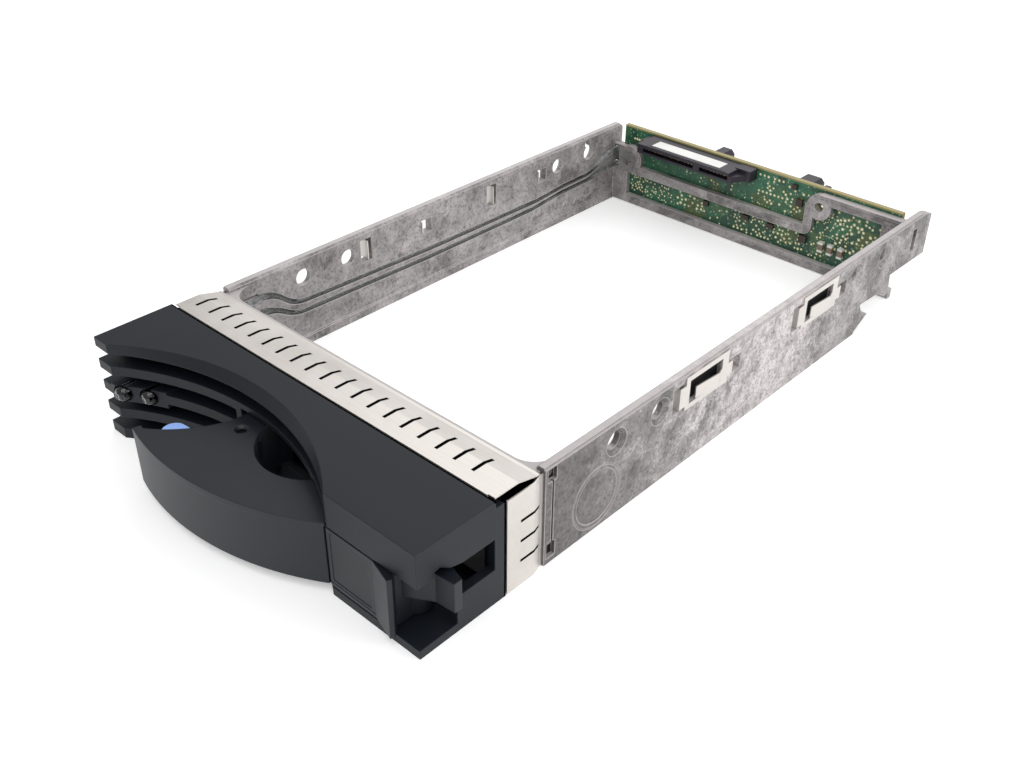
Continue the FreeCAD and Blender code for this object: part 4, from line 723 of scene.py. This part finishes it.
class CADDY_OT_board(bpy.types.Operator):
    """Finish the interposer board and set its plated holes and solder joints"""

    bl_idname = "caddy.board"
    bl_label = "Interposer board"

    def execute(self, context):
        low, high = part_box("interposer_board")
        dress(solder_masked_board(context.scene.caddy_colours, high[2]), "interposer_board")
        dress(fired_ceramic(*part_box("board_capacitors")), "board_capacitors")
        dress(moulded_plastic("moulded_epoxy_package", linear("#33271F"), 0.45, 0.4, 0.3 * MM, 0.1 * MM),
              "board_chips")
        radius = context.scene.caddy_sizes.via_radius
        ring = plated_metal("gold_flashed_ring", "#AAA870", "#CCC890", 0.1, 0.4)
        solder = plated_metal("reflowed_solder", "#EDE9CE", "#FBF9EC", 0.1, 0.35)
        rings = bmesh.new()
        domes = bmesh.new()
        for place, size in self.places(low[1], radius):
            add_stud(rings, place, size, size, RING_HEIGHT * MM)
            add_stud(domes, place, size * SOLDER_FOOT, size * SOLDER_TIP, SOLDER_HEIGHT * MM)
        make_piece("board_pad_rings", rings, ring, "tray")
        make_piece("board_solder_joints", domes, solder, "tray")
        return {"FINISHED"}

    def places(self, face, radius):
        """Rows of joints, then plated holes in fields, none nearer to its neighbour than their width."""
        found = []
        for first, height, pitch, count in JOINT_ROWS:
            for index in range(count):
                found.append((Vector(((first + index * pitch) * MM, face, height * MM)), radius))
        dice = random.Random(PAD_SEED)
        for left, right, bottom, top, count, share in PAD_FIELDS:
            placed = 0
            for _ in range(count * PAD_TRIES):
                place = Vector((dice.uniform(left, right) * MM, face, dice.uniform(bottom, top) * MM))
                size = radius * share * dice.uniform(*PAD_SPREAD)
                crowded = any((place - other).length < (size + near) * PAD_ROOM for other, near in found)
                if placed < count and not crowded:
                    found.append((place, size))
                    placed += 1
        return found


class CADDY_OT_connectors(bpy.types.Operator):
    """Finish the drive receptacle, its ribs and the rear connector"""

    bl_idname = "caddy.connectors"
    bl_label = "Connectors"

    def execute(self, context):
        colour = tuple(context.scene.caddy_colours.connector)
        plum = moulded_plastic("moulded_liquid_crystal_polymer", colour, 0.42, 0.4, 0.3 * MM, 0.12 * MM)
        dress(plum, "drive_connector", "backplane_connector")
        gold = plated_metal("gold_flashed_copper", "#6E6048", "#A0906A", 0.6, 0.4)
        dress(gold, "drive_connector_contacts", "backplane_contacts")
        dress(moulded_plastic("white_polyimide_cap", linear("#E6E6E3"), 0.5, 0.4, 0.5 * MM, 0.05 * MM),
              "pick_cap")
        dress(turned_steel("zinc_plated_screw", "#B8B8B6", 0.35), "board_screw")
        self.ribs(plum)
        return {"FINISHED"}

    def ribs(self, material):
        """Fine ribs along the receptacle's front lip, one over each contact."""
        low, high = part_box("drive_connector_contacts")
        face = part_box("drive_connector")[0][1]
        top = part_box("pick_cap")[0][2]
        pitch = RIB_PITCH * MM
        size = [side * MM for side in RIB_SIZE]
        mesh = bmesh.new()
        for index in range(int((high[0] - low[0]) / pitch)):
            place = Vector((low[0] + (index + 0.5) * pitch, face + RIB_SETBACK * MM, top))
            add_bar(mesh, place, size, RIB_ROUNDING * MM)
        make_piece("receptacle_ribs", mesh, material, "tray")


OPERATORS = (CADDY_OT_stage, CADDY_OT_cast_tray, CADDY_OT_bezel, CADDY_OT_handle, CADDY_OT_strips,
             CADDY_OT_light_pipes, CADDY_OT_board, CADDY_OT_connectors)


class CADDY_PT_panel(bpy.types.Panel):
    """Lists the caddy's sizes, colours and pieces"""

    bl_label = "Caddy"
    bl_idname = "CADDY_PT_panel"
    bl_space_type = "VIEW_3D"
    bl_region_type = "UI"
    bl_category = "Caddy"

    def draw(self, context):
        for group in (context.scene.caddy_colours, context.scene.caddy_sizes):
            for name in group.bl_rna.properties.keys():
                if name not in ("rna_type", "name"):
                    self.layout.prop(group, name)
        for operator in OPERATORS:
            self.layout.operator(operator.bl_idname)


CLASSES = (CaddyColours, CaddySizes, *OPERATORS, CADDY_PT_panel)


def register():
    for made in CLASSES:
        bpy.utils.register_class(made)
    bpy.types.Scene.caddy_colours = bpy.props.PointerProperty(type=CaddyColours)
    bpy.types.Scene.caddy_sizes = bpy.props.PointerProperty(type=CaddySizes)


def unregister():
    del bpy.types.Scene.caddy_sizes
    del bpy.types.Scene.caddy_colours
    for made in reversed(CLASSES):
        bpy.utils.unregister_class(made)


def main():
    register()
    bpy.ops.caddy.stage()
    bpy.ops.caddy.cast_tray()
    bpy.ops.caddy.bezel()
    bpy.ops.caddy.handle()
    bpy.ops.caddy.strips()
    bpy.ops.caddy.light_pipes()
    bpy.ops.caddy.board()
    bpy.ops.caddy.connectors()


if __name__ == "__main__":
    main()
